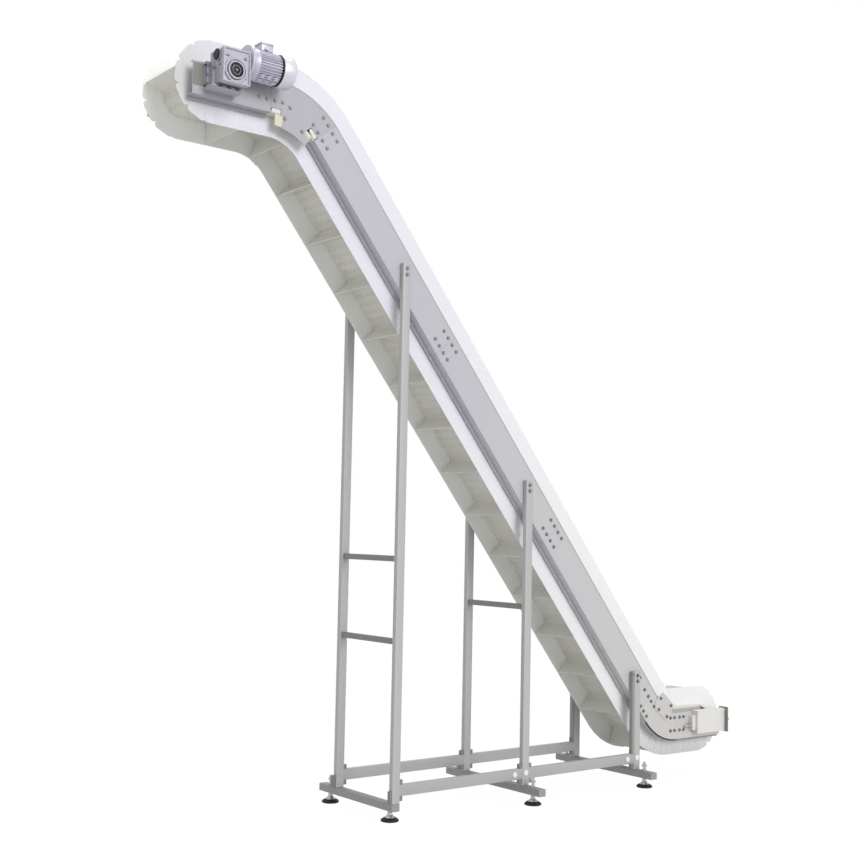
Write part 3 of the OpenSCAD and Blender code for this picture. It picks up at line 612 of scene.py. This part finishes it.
# Stand: tubes with rounded corners in place of the square ones, sizes as packed
stand = {"postY": 0.030, "railY": 0.025, "rung": 0.030, "corner": 0.004, "midRung": 1.080, "buttEdge": 0.0003}
postNodes = ("head_posts", "mid_posts", "infeed_posts")
postBoxes = {name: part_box(name) for name in postNodes}
postX = {name: middleOf(name)[0] for name in postNodes}


# Posts: a rounded rectangle carried upwards, on the near and the far side of each frame
def standPosts():
    for name in postNodes:
        low, high = postBoxes[name]
        shells = [softBlock((low.x, y, low.z), (high.x, y + stand["postY"], high.z), "z", stand["corner"])
                  for y in (low.y, high.y - stand["postY"])]
        addPiece(name.replace("_posts", "FramePosts"), joinShells(shells), postSteel, (name,))


# Beams: a rounded rectangle carried across the stand, under each frame
def standBeams():
    low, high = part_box("cross_beams")
    shells = []
    for name in postNodes:
        nearEnd = postBoxes[name][0].y if name == "head_posts" else low.y
        shells.append(softBlock((postBoxes[name][0].x, nearEnd, low.z), (postBoxes[name][1].x, high.y, high.z), "y",
                                stand["corner"]))
    addPiece("crossBeams", joinShells(shells), beamSteel, ("cross_beams",))


# Rails: a rounded rectangle carried along x from one post to the next, on both sides
def standRails():
    low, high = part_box("base_rails")
    shells = []
    for first, second in zip(postNodes, postNodes[1:]):
        for y in (low.y, high.y - stand["railY"]):
            shells.append(softBlock((postBoxes[first][1].x, y, low.z),
                                    (postBoxes[second][0].x, y + stand["railY"], high.z), "x", stand["corner"],
                                    stand["buttEdge"]))
    addPiece("baseRails", joinShells(shells), railSteel, ("base_rails",))


# Rungs: a rounded square carried across, two in the head frame and one in the middle frame
def standRungs():
    low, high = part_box("frame_rungs")
    half = stand["rung"] / 2
    spots = ((postX["head_posts"], low.z + half), (postX["head_posts"], high.z - half),
             (postX["mid_posts"], stand["midRung"]))
    shells = [softBlock((x - half, low.y, z - half), (x + half, high.y, z + half), "y", stand["corner"],
                        stand["buttEdge"]) for x, z in spots]
    addPiece("frameRungs", joinShells(shells), shadeSteel, ("frame_rungs",))


standPosts()
standBeams()
standRails()
standRungs()
print("stand made")

# Levelling feet: turned pads, cones, studs and hex nuts
foot = {"pad": 0.0475, "padHigh": 0.016, "beamLow": 0.055, "beamHigh": 0.095, "stud": 0.008, "nut": 0.013,
        "lockNut": 0.0145, "lockNutUp": 0.024, "reach": 0.060, "inboard": 0.050}


# Places of the feet: outside both posts of each frame, but inside the near post at the head
def footPlaces():
    nearPost, farPost = postBoxes["mid_posts"][0].y, postBoxes["mid_posts"][1].y
    spots = []
    for name in postNodes:
        nearY = nearPost + foot["inboard"] if name == "head_posts" else nearPost - foot["reach"]
        spots += [(postX[name], nearY), (postX[name], farPost + foot["reach"])]
    return spots


# One foot: circles of the given radii at the given heights for pad, cone and studs, and hexagons for nuts
def levellingFeet():
    pads, metal = [], []
    r, h, stud, nut, lock = (foot[key] for key in ("pad", "padHigh", "stud", "nut", "lockNut"))
    above = foot["beamHigh"]
    for x, y in footPlaces():
        at = (x, y, 0)
        pads.append(turned("z", at, [(0, r * 0.93), (0.002, r * 0.99), (0.006, r), (0.009, r * 0.985),
                                     (0.013, r * 0.90), (h, r * 0.78), (h + 0.004, r * 0.66)], 48))
        metal.append(turned("z", at, [(h + 0.002, r * 0.60), (h + 0.006, r * 0.55), (h + 0.018, 0.014),
                                      (h + 0.022, 0.0125), (h + 0.028, 0.0125), (h + 0.029, stud),
                                      (foot["beamLow"] - 0.0005, stud)], 32))
        for z in (foot["beamLow"] - 0.011, above + 0.0002):
            metal.append(turned("z", at, [(0, nut * 0.93), (0.001, nut), (0.009, nut), (0.0105, nut * 0.93)], 6, z))
        metal.append(turned("z", at, [(0.008, stud), (0.050, stud), (0.053, stud * 0.75)], 24, above))
        metal.append(turned("z", at, nutProfile(lock, 0.014), 6, above + foot["lockNutUp"]))
    addPiece("footPads", joinShells(pads), footBlack, ("levelling_feet",))
    addPiece("footStuds", joinShells(metal), shaftSteel)


levellingFeet()
print("feet made")

# Bolts: a washer, a hex head and its chamfer along local z
bolt = {"washer": 0.0105, "washerHigh": 0.0016, "head": 0.0085, "headHigh": 0.0060}


# One bolt: a round washer and a six-sided head, both turned about z and drawn in a little at the top
def boltShell(scale=1.0):
    w, wh, r, hh = (bolt[key] * scale for key in ("washer", "washerHigh", "head", "headHigh"))
    washer = turned("z", (0, 0, 0), [(0, w), (wh * 0.7, w), (wh, w * 0.94)], 20)
    head = turned("z", (0, 0, 0), [(wh * 0.9, r), (wh + hh * 0.85, r), (wh + hh, r * 0.86)], 6)
    return joinShells([washer, head])


# Matrix whose third column is the given outward direction
def facing(direction):
    out = np.asarray(direction, float)
    side = np.cross((0, 0, 1), out) if abs(out[2]) < 0.9 else np.array([1.0, 0, 0])
    side = side / np.linalg.norm(side)
    return np.column_stack([side, np.cross(out, side), out])


# Joins of the side plates as distances from the corners, and the bolt rows beside them
seam = {"head": 0.234, "upper": 0.165, "lower": 0.208, "along": (-0.068, -0.023, 0.023, 0.068),
        "rows": (0.022, -0.055), "headRows": (0.038, -0.037)}
sectionLen = (inclineLen - seam["upper"] - seam["lower"]) / 3
seamPlaces = [seam["upper"] + k * sectionLen for k in range(3)]
shoeBolts = ((0.055, 0.314), (0.157, 0.269), (0.084, 0.376))
coverBolts = ((-0.165, -0.162), (-0.147, -0.096), (-0.055, -0.145), (-0.091, -0.210))
lowerBendBolts = (3.978, 4.031, 4.072, 4.114)
infeedBolts = (0.068, 0.105, 0.152, 0.189)


# Spots in x and z: a corner plus a distance along the run plus a distance square to it
def plateBoltSpots():
    spots = [upperCorner + s * runDir + a * runDir + off * runUp
             for s in seamPlaces for a in seam["along"] for off in seam["rows"]]
    spots += [upperCorner + s * runDir + 0.007 * runUp for s in lowerBendBolts]
    spots += [upperCorner + s * runDir - 0.079 * runUp for s in lowerBendBolts[1:]]
    spots += [upperCorner + [-seam["head"] + a, z] for a in seam["along"] for z in seam["headRows"]]
    spots += [lowerCorner + [a, z] for a in infeedBolts for z in (0.033, -0.046)]
    spots += [upperC + np.array(p) for p in shoeBolts]
    return np.array(spots)


# The same spots on the plates of both sides, and the bend covers' own spots on the covers
def plateBolts():
    plateY = (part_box("near_incline_plates")[0].y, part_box("far_incline_plates")[1].y)
    coverY = (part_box("bend_cover_plates")[0].y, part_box("bend_cover_plates")[1].y)
    shells = []
    spots = plateBoltSpots()
    for y, yCover, out in ((plateY[0], coverY[0], -1), (plateY[1], coverY[1], 1)):
        places = np.column_stack([spots[:, 0], np.full(len(spots), y), spots[:, 1]])
        over = np.array([lowerC + np.array(p) for p in coverBolts])
        places = np.concatenate([places, np.column_stack([over[:, 0], np.full(len(over), yCover), over[:, 1]])])
        shells.append(scatter(boltShell(), np.repeat(facing((0, out, 0))[None], len(places), 0), places))
    return joinShells(shells)


# Two bolts under the top of each post, at two drops from it, facing outwards
def postBolts():
    spots, outs = [], []
    for name in postNodes:
        low, high = postBoxes[name]
        for y, out in ((low.y, -1), (high.y, 1)):
            for drop in (0.027, 0.060):
                spots.append((postX[name], y, high.z - drop))
                outs.append(facing((0, out, 0)))
    return scatter(boltShell(1.1), np.array(outs), np.array(spots))


addPiece("plateBolts", joinShells([plateBolts(), postBolts()]), boltSteel)
print("bolts made")

# Gearbox: a square cast housing with a raised rim on its front, a round boss and a black cap on the worm end
gear = {"front": 0.069, "back": 0.081, "below": 0.064, "above": 0.106, "depth": 0.131, "bossOut": 0.008,
        "corner": 0.010, "wormUp": 0.075, "wormIn": 0.008, "rim": 0.009, "recess": 0.006, "boltRing": 0.066,
        "sideRing": 0.045, "boltSize": 0.85}
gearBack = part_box("gearbox")[1].y
gearFront, gearMid = gearBack - gear["depth"], gearBack - gear["depth"] / 2
gearLeft, gearRight = headC[0] - gear["front"], headC[0] + gear["back"]
bossFace = gearFront - gear["bossOut"]
shaftAt = (headC[0], 0, headC[1])
wormAt = (0, gearMid - gear["wormIn"], headC[1] + gear["wormUp"])


# Housing: a rounded square carried from back to front, drawn in by the inset of each station; the rest is turned
def gearboxShells():
    z0, z1 = headC[1] - gear["below"], headC[1] + gear["above"]
    centre = ((gearLeft + gearRight) / 2, 0, (z0 + z1) / 2)
    halfA, halfB, c, rim = (gearRight - gearLeft) / 2, (z1 - z0) / 2, gear["corner"], gear["rim"]
    steps = [(gearBack, 0.003), (gearBack - 0.003, 0), (gearBack - 0.030, 0), (gearBack - 0.034, 0.006),
             (gearFront + 0.034, 0.006), (gearFront + 0.030, 0), (gearFront + 0.003, 0), (gearFront, 0.003),
             (gearFront, rim), (gearFront + gear["recess"], rim + 0.003)]
    outlines = [roundedRect(halfA - inset, halfB - inset, max(c - inset, 0.006), 7) for _, inset in steps]
    housing = skinRings(ringsAlong("y", centre, outlines, [s for s, _ in steps]))
    top = -gear["bossOut"]
    boss = turned("y", shaftAt, [(0.012, 0.060), (0, 0.060), (-0.002, 0.058), (-0.002, 0.051), (0.005, 0.050),
                                 (0.005, 0.0465), (-0.002, 0.0455), (top, 0.043), (top, 0.0365),
                                 (top + 0.004, 0.0355)], 56, gearFront)
    worm = turned("x", wormAt, [(0.004, 0.030), (-0.003, 0.030), (-0.004, 0.029), (-0.004, 0.0262)], 40, gearLeft)
    plug = turned("y", (headC[0] - 0.052, 0, headC[1] + 0.070), [(0.009, 0.009), (0.002, 0.009), (0.001, 0.008)], 6,
                  gearFront)
    ribs = [softBlock((centre[0] + dx - 0.003, gearFront + 0.036, z1 - 0.010),
                      (centre[0] + dx + 0.003, gearBack - 0.036, z1), "y", 0.002) for dx in (-0.045, 0.0, 0.045)]
    return joinShells([housing, boss, worm, plug] + ribs)


# Seal and bore turned about the head shaft, and the cap about the worm
def gearboxDark():
    darkBand = turned("y", shaftAt, [(0.008, 0.0362), (0.003, 0.0360), (0.002, 0.034), (0.002, 0.0245), (0.006, 0.0235)],
                  48, bossFace)
    bore = turned("y", shaftAt, [(0.012, 0.0183), (0.0035, 0.0182), (0.0030, 0.0160)], 40, bossFace)
    cap = turned("x", wormAt, [(-0.002, 0.0262), (-0.0085, 0.0260), (-0.0105, 0.0235)], 40, gearLeft)
    return joinShells([darkBand, bore, cap])


# Hub ring and end nut, turned about the head shaft
def hubAndNut():
    hub = turned("y", shaftAt, [(0.008, 0.023), (0.001, 0.023), (0.001, 0.0185), (0.010, 0.0180)], 40, bossFace)
    nut = turned("y", shaftAt, [(0.004, 0.0085), (0, 0.0085), (-0.001, 0.0075)], 6, bossFace)
    return joinShells([hub, nut])


# Bolts on a ring: its middle plus the radius times the cosine and the sine of each turn; three on the bracket
def gearboxBolts():
    turns, places = [], []
    for t in np.radians((45, 135, 225, 315)):
        places.append((headC[0] + 0.006 + gear["boltRing"] * math.cos(t), gearFront + gear["recess"],
                       headC[1] + 0.021 + gear["boltRing"] * math.sin(t)))
        turns.append(facing((0, -1, 0)))
        places.append((gearLeft, gearMid + gear["sideRing"] * math.cos(t),
                       headC[1] + 0.055 + gear["sideRing"] * math.sin(t)))
        turns.append(facing((-1, 0, 0)))
    low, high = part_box("gearbox_bracket")
    for z in (high.z - 0.020, (high.z + low.z) / 2, low.z + 0.026):
        places.append((low.x + 0.008, high.y - 0.028, z))
        turns.append(facing((-1, 0, 0)))
    return scatter(boltShell(gear["boltSize"]), np.array(turns), np.array(places))


addPiece("gearHousing", gearboxShells(), castSilver, ("gearbox",))
addPiece("gearSealAndCap", gearboxDark(), capBlack)
addPiece("gearHub", hubAndNut(), hubSteel)
addPiece("gearBolts", gearboxBolts(), boltSteel)

# Motor: bell flange, finned body, fan cover and terminal box along x
motor = {"flangeR": 0.084, "flangeLen": 0.038, "bodyR": 0.075, "bodyLen": 0.141, "fanR": 0.080, "fanLen": 0.077,
         "fins": 34, "finHigh": 0.009, "padTurns": (-125, -100, -60, -35), "padPlaces": (0.038, 0.076, 0.114),
         "padSink": 0.0085, "slots": 6, "lid": 0.012}
motorAt = np.array([0, gearMid, headC[1] + gear["wormUp"]])
bodyX = gearRight + motor["flangeLen"]
fanX = bodyX + motor["bodyLen"]


# Finned body: the radius steps between root and tip with the turn, as a steep clipped cosine
def finnedOutline(tip, root, fins):
    angle = np.linspace(0, 2 * np.pi, fins * 8, endpoint=False)
    wave = np.clip(0.5 + 2.0 * np.cos(angle * fins), 0, 1)
    radius = root + (tip - root) * wave
    return np.column_stack([radius * np.cos(angle), radius * np.sin(angle)])


# Motor: a turned bell, finned outlines carried along x, and pads set out from the axis at their turns
def motorShells():
    r, tip, root, long = motor["flangeR"], motor["bodyR"], motor["bodyR"] - motor["finHigh"], motor["flangeLen"]
    bell = turned("x", motorAt, [(0.0005, r * 0.96), (0.002, r), (0.011, r), (0.013, r * 0.97), (0.016, r * 0.86),
                                 (0.024, r * 0.84), (long, r * 0.92), (long + 0.003, r * 0.93),
                                 (long + 0.009, r * 0.93), (long + 0.010, r * 0.85)], 72, gearRight)
    end = [finnedOutline(*pair, motor["fins"]) for pair in ((root, root - 0.002), (tip - 0.002, root), (tip, root))]
    stations = [bodyX + 0.006, bodyX + 0.010, bodyX + 0.013, fanX - 0.010, fanX - 0.007, fanX - 0.002]
    body = skinRings(ringsAlong("x", motorAt, end + end[::-1], stations))
    block = softBlock((-0.011, -0.011, 0), (0.011, 0.011, 0.010), "z", 0.003)
    turns, places = [], []
    for t in np.radians(motor["padTurns"]):
        out = np.array([0, math.cos(t), math.sin(t)])
        for k in motor["padPlaces"]:
            turns.append(np.column_stack([(1, 0, 0), np.cross(out, (1, 0, 0)), out]))
            places.append(motorAt + [bodyX + k, 0, 0] + out * (tip - motor["padSink"]))
    return joinShells([bell, body, scatter(block, np.array(turns), np.array(places))])


# Fan cover: a turned cup, with ring grooves in its end face whose radii fall by even steps
def fanCoverShells():
    r, long = motor["fanR"], motor["fanLen"]
    profile = [(0.002, r * 0.90), (0.002, r * 0.985), (0.004, r), (long - 0.020, r), (long - 0.010, r * 0.975),
               (long - 0.004, r * 0.91), (long, r * 0.82)]
    for k in range(motor["slots"]):
        outer = r * (0.76 - 0.11 * k)
        inner = outer - r * 0.045
        profile += [(long, outer), (long - 0.004, outer - 0.0008), (long - 0.004, inner), (long, inner - 0.0008)]
    return turned("x", motorAt, profile, 72, fanX)


# Terminal box: a rounded block, a lid over it and a turned fitting on its front
def terminalShells():
    low, high = (np.array(c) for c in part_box("terminal_box"))
    seat = high[2] - motor["lid"]
    body = softBlock(low + [0.002, 0.002, 0.004], (high[0] - 0.002, high[1] - 0.002, seat), "z", 0.008)
    cover = softBlock((low[0], low[1], seat + 0.0005), high, "z", 0.009, 0.003)
    gland = turned("y", (low[0] + 0.030, 0, high[2] - 0.034), [(0.004, 0.011), (-0.004, 0.011), (-0.005, 0.009),
                                                               (-0.012, 0.009), (-0.013, 0.006)], 6, low[1])
    return joinShells([body, cover, gland])


# Black ring of painted shade in the gap before the fan cover, turned about the motor's axis
def motorGapShade():
    r = motor["fanR"]
    return turned("x", motorAt, [(-0.006, r * 0.86), (-0.005, r * 0.945), (0.001, r * 0.955), (0.003, r * 0.90)], 72,
                  fanX)


addPiece("motorBody", motorShells(), motorSilver, ("motor",), sharp=28)
addPiece("fanCoverShell", fanCoverShells(), coverSilver, ("fan_cover",))
addPiece("terminalCase", terminalShells(), motorSilver, ("terminal_box",))
addPiece("motorGapShadeRing", motorGapShade(), capBlack)
print("drive made")

# Head end: a dark panel of painted shade on the plate beyond the bracket, black blocks of painted shade in the slots
# round the bolts on the gearbox foot, white blocks of painted light in the bend notches
notch = {"long": 0.054, "low": -0.099, "high": -0.077, "fromHead": 0.004, "inner": -0.0036, "outer": 0.0012,
         "corner": 0.010}
shadePanel = {"inset": 0.003, "thick": 0.0025, "below": 0.056, "above": 0.052, "farLong": 0.060}
plateFace = {-1: float(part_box("near_head_plate")[0].y), 1: float(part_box("far_head_plate")[1].y)}


# Block on a side plate, its depth counted outwards from the plate's face
def flatBlock(x0, x1, side, inner, outer, z0, z1, radius=0.003):
    y0, y1 = sorted((plateFace[side] + side * inner, plateFace[side] + side * outer))
    return softBlock((x0, y0, z0), (x1, y1, z1), "y", radius, 0.0008)


# One white block for each notch, painted light filling the notch: level on the head side, and turned to the run on
# the other
def notchLightFills():
    half, corner = notch["long"] / 2, upperCorner
    turn = np.array([[runDir[0], 0, runUp[0]], [0, 1, 0], [runDir[1], 0, runUp[1]]])
    level = corner[0] - seam["head"] + notch["fromHead"] + half
    sloped = corner + (seam["upper"] - notch["fromHead"] - half) * runDir
    turns, places = np.array([np.eye(3), turn]), np.array([[level, 0, corner[1]], [sloped[0], 0, sloped[1]]])
    return joinShells([scatter(flatBlock(-half, half, side, notch["inner"], notch["outer"], notch["low"],
                                         notch["high"], notch["corner"]), turns, places) for side in (-1, 1)])


# A thin dark block of painted shade on each head plate, as far as the bracket on the near side
def headShadePanels():
    x0 = float(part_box("near_head_plate")[0].x) + shadePanel["inset"]
    ends = {-1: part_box("gearbox_bracket")[0].x - shadePanel["inset"], 1: x0 + shadePanel["farLong"]}
    return joinShells([flatBlock(x0, x1, side, 0, shadePanel["thick"], headC[1] - shadePanel["below"],
                                 headC[1] + shadePanel["above"]) for side, x1 in ends.items()])


# Small black blocks set into the bracket as painted shade in its slots: three in its front, two and a thin line in
# its end
def gearFootTrim():
    low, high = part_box("gearbox_bracket")
    shells = [softBlock((x, low.y - 0.0006, low.z + 0.002), (x + 0.024, low.y + 0.003, low.z + 0.008), "y",
                        0.0028, 0.0004) for x in (low.x + 0.030, low.x + 0.075, low.x + 0.120)]
    shells += [softBlock((low.x - 0.0008, high.y - 0.024, z), (low.x + 0.002, high.y - 0.006, z + 0.010), "x",
                         0.003, 0.0004) for z in (low.z + 0.012, high.z - 0.022)]
    shells.append(softBlock((low.x - 0.0006, low.y + 0.065, low.z + 0.004),
                            (low.x + 0.001, low.y + 0.0675, high.z - 0.004), "x", 0.001, 0.0003))
    return joinShells(shells)


addPiece("bendNotchLightFills", notchLightFills(), sprocketWhite)
addPiece("headEndShadePanels", headShadePanels(), shadeSteel)
addPiece("gearFootTrim", gearFootTrim(), capBlack)

# Take-up units: a pale box over each tail bearing, a dark end plate, and the clamp and screw before it
takeUp = {"deep": 0.046, "high": 0.142, "long": 0.260, "below": 0.074, "endReach": 0.070, "endThick": 0.006,
          "over": 0.143, "clampLong": 0.030, "screwOut": 0.020, "screwUp": 0.050, "screw": 0.0065, "nut": 0.012,
          "endNut": 0.013, "endNutOut": 0.058}


# Boxes, clamps and end plates are blocks on the plate's face; the screw and its nuts are turned about x
def takeUpPieces():
    boxes, ends, screws = [], [], []
    x1 = tailC[0] + takeUp["over"]
    x0, z0 = x1 - takeUp["long"], tailC[1] - takeUp["below"]
    z1 = z0 + takeUp["high"]
    screw = takeUp["screw"]
    for side in (-1, 1):
        boxes.append(flatBlock(x0, x1, side, 0, takeUp["deep"], z0, z1))
        boxes.append(flatBlock(x0 - takeUp["clampLong"], x0, side, 0, 0.030, z0 + 0.022, z1 - 0.030))
        ends.append(flatBlock(x1, x1 + takeUp["endThick"], side, 0, takeUp["endReach"], z0 - 0.004, z1 + 0.008,
                              0.002))
        at = (0, plateFace[side] + side * takeUp["screwOut"], z0 + takeUp["screwUp"])
        screws.append(turned("x", at, [(-0.085, screw - 0.001), (-0.083, screw), (-0.030, screw)], 20, x0))
        screws += [turned("x", at, nutProfile(takeUp["nut"], 0.010), 6, start) for start in (x0 - 0.054, x0 - 0.042)]
        at = (0, plateFace[side] + side * takeUp["endNutOut"], tailC[1])
        screws.append(turned("x", at, nutProfile(takeUp["endNut"], 0.009), 6, x1 + takeUp["endThick"]))
    return boxes, ends, screws


takeUpBoxes, takeUpEnds, takeUpScrews = (joinShells(part) for part in takeUpPieces())
addPiece("takeUpBoxes", takeUpBoxes, boxSteel, ("take_up_units",))
addPiece("takeUpEndPlates", takeUpEnds, shadeSteel)
addPiece("takeUpScrews", takeUpScrews, shaftSteel)

# Black strip of painted shadow under each lower bend plate, swept from the infeed posts to the infeed plate, and a
# dark strip of painted shade beyond it
darkBand = {"wide": 0.0060, "high": 0.0075, "from": 0.97, "steps": 34, "beyond": 0.020, "under": 0.1002, "skin": 0.0003,
        "shadeStripHigh": 0.010}


# The strip follows the arc of the plate's lower edge: centre minus (radius plus the drop) along the turning normal
def bendShadeStrips():
    tilt = np.linspace(incline * darkBand["from"], 0, darkBand["steps"])
    normal = np.stack([np.sin(tilt), np.cos(tilt)], -1)
    drop = lowerR + darkBand["under"]
    shells = []
    for side in (-1, 1):
        near, far = plateFace[side] - side * darkBand["skin"], plateFace[side] - side * darkBand["wide"]
        rings = []
        for n in normal:
            top, low = lowerC - drop * n, lowerC - (drop + darkBand["high"]) * n
            rings.append([(p[0], y, p[1]) for p, y in ((top, near), (top, far), (low, far), (low, near))])
        shells.append(skinRings(np.array(rings)))
    return joinShells(shells)


# A thin dark block of painted shade along the lower edge of each infeed plate
def infeedShadeStrips():
    z = lowerCorner[1] - darkBand["under"]
    x0, x1 = lowerC[0] + 0.001, tailC[0] + takeUp["over"] - darkBand["beyond"]
    return joinShells([flatBlock(x0, x1, side, -darkBand["wide"], -darkBand["skin"], z - darkBand["shadeStripHigh"], z, 0.001)
                       for side in (-1, 1)])


addPiece("lowerBendShadeStrips", bendShadeStrips(), capBlack)
addPiece("infeedShadeStrips", infeedShadeStrips(), shadeSteel)

# Stand fittings: a bar beside each infeed post, corner brackets and bright caps where the rails meet the posts
fitting = {"bar": 0.016, "barDeep": 0.029, "barTop": 0.0145, "leaf": 0.020, "leafHigh": 0.024, "leafThin": 0.012,
           "cap": 0.0155, "capBack": 0.055, "joint": 0.0002, "lift": 0.0004}


# Bars are rounded blocks with a turned top, brackets are blocks beside the posts, caps are turned about y
def standFittings():
    bars, leaves, caps, black = [], [], [], []
    railLow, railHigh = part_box("base_rails")
    middle = (railLow.z + railHigh.z) / 2
    joint, lift, cap = fitting["joint"], fitting["lift"], fitting["cap"]
    for name in postNodes:
        low, high = postBoxes[name]
        x0, x1 = low.x, high.x
        railSides = {"head_posts": [(1, x1)], "mid_posts": [(-1, x0), (1, x1)], "infeed_posts": [(-1, x0)]}[name]
        for y, out in ((low.y, -1), (high.y, 1)):
            inner = y - out * stand["postY"]
            if name == "infeed_posts":
                y0, y1 = sorted((inner + out * lift, inner + out * fitting["barDeep"]))
                bars.append(softBlock((x0 - fitting["bar"], y0, railHigh.z + 0.004),
                                      (x0 - joint, y1, high.z - 0.012), "z", 0.005))
                bars.append(turned("y", (x0 - 0.001, 0, high.z - 0.014),
                                   [(y0, fitting["barTop"]), (y1, fitting["barTop"])], 28))
                y0, y1 = sorted((inner, inner + out * 0.008))
                black.append(softBlock((x1 + 0.014, y0, high.z - 0.052), (x1 + 0.032, y1, high.z - 0.034), "y",
                                       0.004))
            if name == "head_posts":
                y0, y1 = sorted((inner + out * 0.004, y - out * 0.002))
                leaves.append(softBlock((x0 - fitting["leafThin"], y0, low.z + 0.004),
                                        (x0 - joint, y1, railHigh.z - 0.030), "z", 0.003))
            y0, y1 = sorted((inner + out * 0.004, y - out * 0.004))
            for sx, x in railSides:
                xa, xb = sorted((x + sx * joint, x + sx * fitting["leaf"]))
                leaves += [softBlock((xa, y0, z0), (xb, y1, z0 + fitting["leafHigh"]), "y", 0.003)
                           for z0 in (railHigh.z + lift, railLow.z - fitting["leafHigh"] - lift)]
            if name != "head_posts":
                caps.append(turned("y", (x0 - fitting["capBack"], 0, middle),
                                   [(-out * 0.006, cap), (out * 0.001, cap), (out * 0.0025, cap * 0.86)], 28, y))
                caps.append(turned("y", ((x0 + x1) / 2, 0, middle + 0.004),
                                   [(0, cap), (out * 0.003, cap), (out * 0.0045, cap * 0.86)], 28, y))
    return bars, leaves, caps, black


postBars, cornerLeaves, brightCaps, edgeBolts = (joinShells(part) for part in standFittings())
addPiece("infeedPostBars", postBars, beamSteel)
addPiece("railCornerBrackets", cornerLeaves, shadeSteel)
addPiece("railBoltCaps", brightCaps, capSteel)
addPiece("plateEdgeBolts", edgeBolts, capBlack)
print("fittings made")

# Floor and light: a pale floor that keeps a faint shadow, a white backdrop seen by the camera, soft suns
stage = {"size": 60, "ambient": 0.56, "floorOwn": 0.965, "floorLit": 0.05, "bounce": 0.75}


# What straight, mirrored and passing rays see is the shown shader, and what lights the part is the hidden one
def whiteToEye(tree, shown, hidden, output):
    path = addNode(tree, "LightPath")
    most = addNode(tree, "Math", operation="MAXIMUM")
    both = addNode(tree, "Math", operation="MAXIMUM")
    mixer = addNode(tree, "MixShader")
    wire(tree, (path, "Is Camera Ray", most, 0), (path, "Is Glossy Ray", most, 1), (most, 0, both, 0),
         (path, "Is Transmission Ray", both, 1), (both, 0, mixer, "Fac"), (hidden, 0, mixer, 1), (shown, 0, mixer, 2),
         (mixer, 0, output, "Surface"))


# World and floor: what the eye sees of each is near white, and a second shader lights the part
def addStage():
    world = bpy.data.worlds.new("studio")
    world.use_nodes = True
    bpy.context.scene.world = world
    tree = world.node_tree
    tree.nodes.clear()
    output = addNode(tree, "OutputWorld")
    shown = addNode(tree, "Background", inputs={"Color": (1, 1, 1, 1), "Strength": 1.0})
    hidden = addNode(tree, "Background", inputs={"Color": (1.0, 0.995, 0.98, 1), "Strength": stage["ambient"]})
    whiteToEye(tree, shown, hidden, output)
    half = stage["size"] / 2
    mesh = bpy.data.meshes.new("floor")
    mesh.from_pydata([(-half, -half, 0), (half, -half, 0), (half, half, 0), (-half, half, 0)], [], [(0, 1, 2, 3)])
    floor = addObject("floor", mesh)
    material = bpy.data.materials.new("floorWhite")
    material.use_nodes = True
    tree = material.node_tree
    tree.nodes.clear()
    output = addNode(tree, "OutputMaterial")
    own = addNode(tree, "Emission", inputs={"Color": (1, 1, 1, 1), "Strength": stage["floorOwn"]})
    lit = addNode(tree, "BsdfDiffuse", inputs={"Color": (stage["floorLit"],) * 3 + (1,)})
    both = addNode(tree, "AddShader")
    plain = addNode(tree, "BsdfDiffuse", inputs={"Color": (stage["bounce"],) * 3 + (1,)})
    wire(tree, (own, 0, both, 0), (lit, 0, both, 1))
    whiteToEye(tree, both, plain, output)
    mesh.materials.append(material)


# Even light from a direction, soft by its angle
def addSun(name, toward, power, angle):
    data = bpy.data.lights.new(name, "SUN")
    data.energy = power
    data.angle = math.radians(angle)
    away = np.array(toward, float)
    away /= np.linalg.norm(away)
    side = np.cross((0, 0, 1), away)
    side /= np.linalg.norm(side)
    addObject(name, data).matrix_world = columnsMatrix(side, np.cross(away, side), away)


addStage()
addSun("keySun", (0.05, -0.94, 0.34), 1.40, 30)
addSun("topSun", (0.25, 0.10, 1.0), 0.7, 30)
bpy.context.scene.view_settings.view_transform = "Standard"
print("stage set")
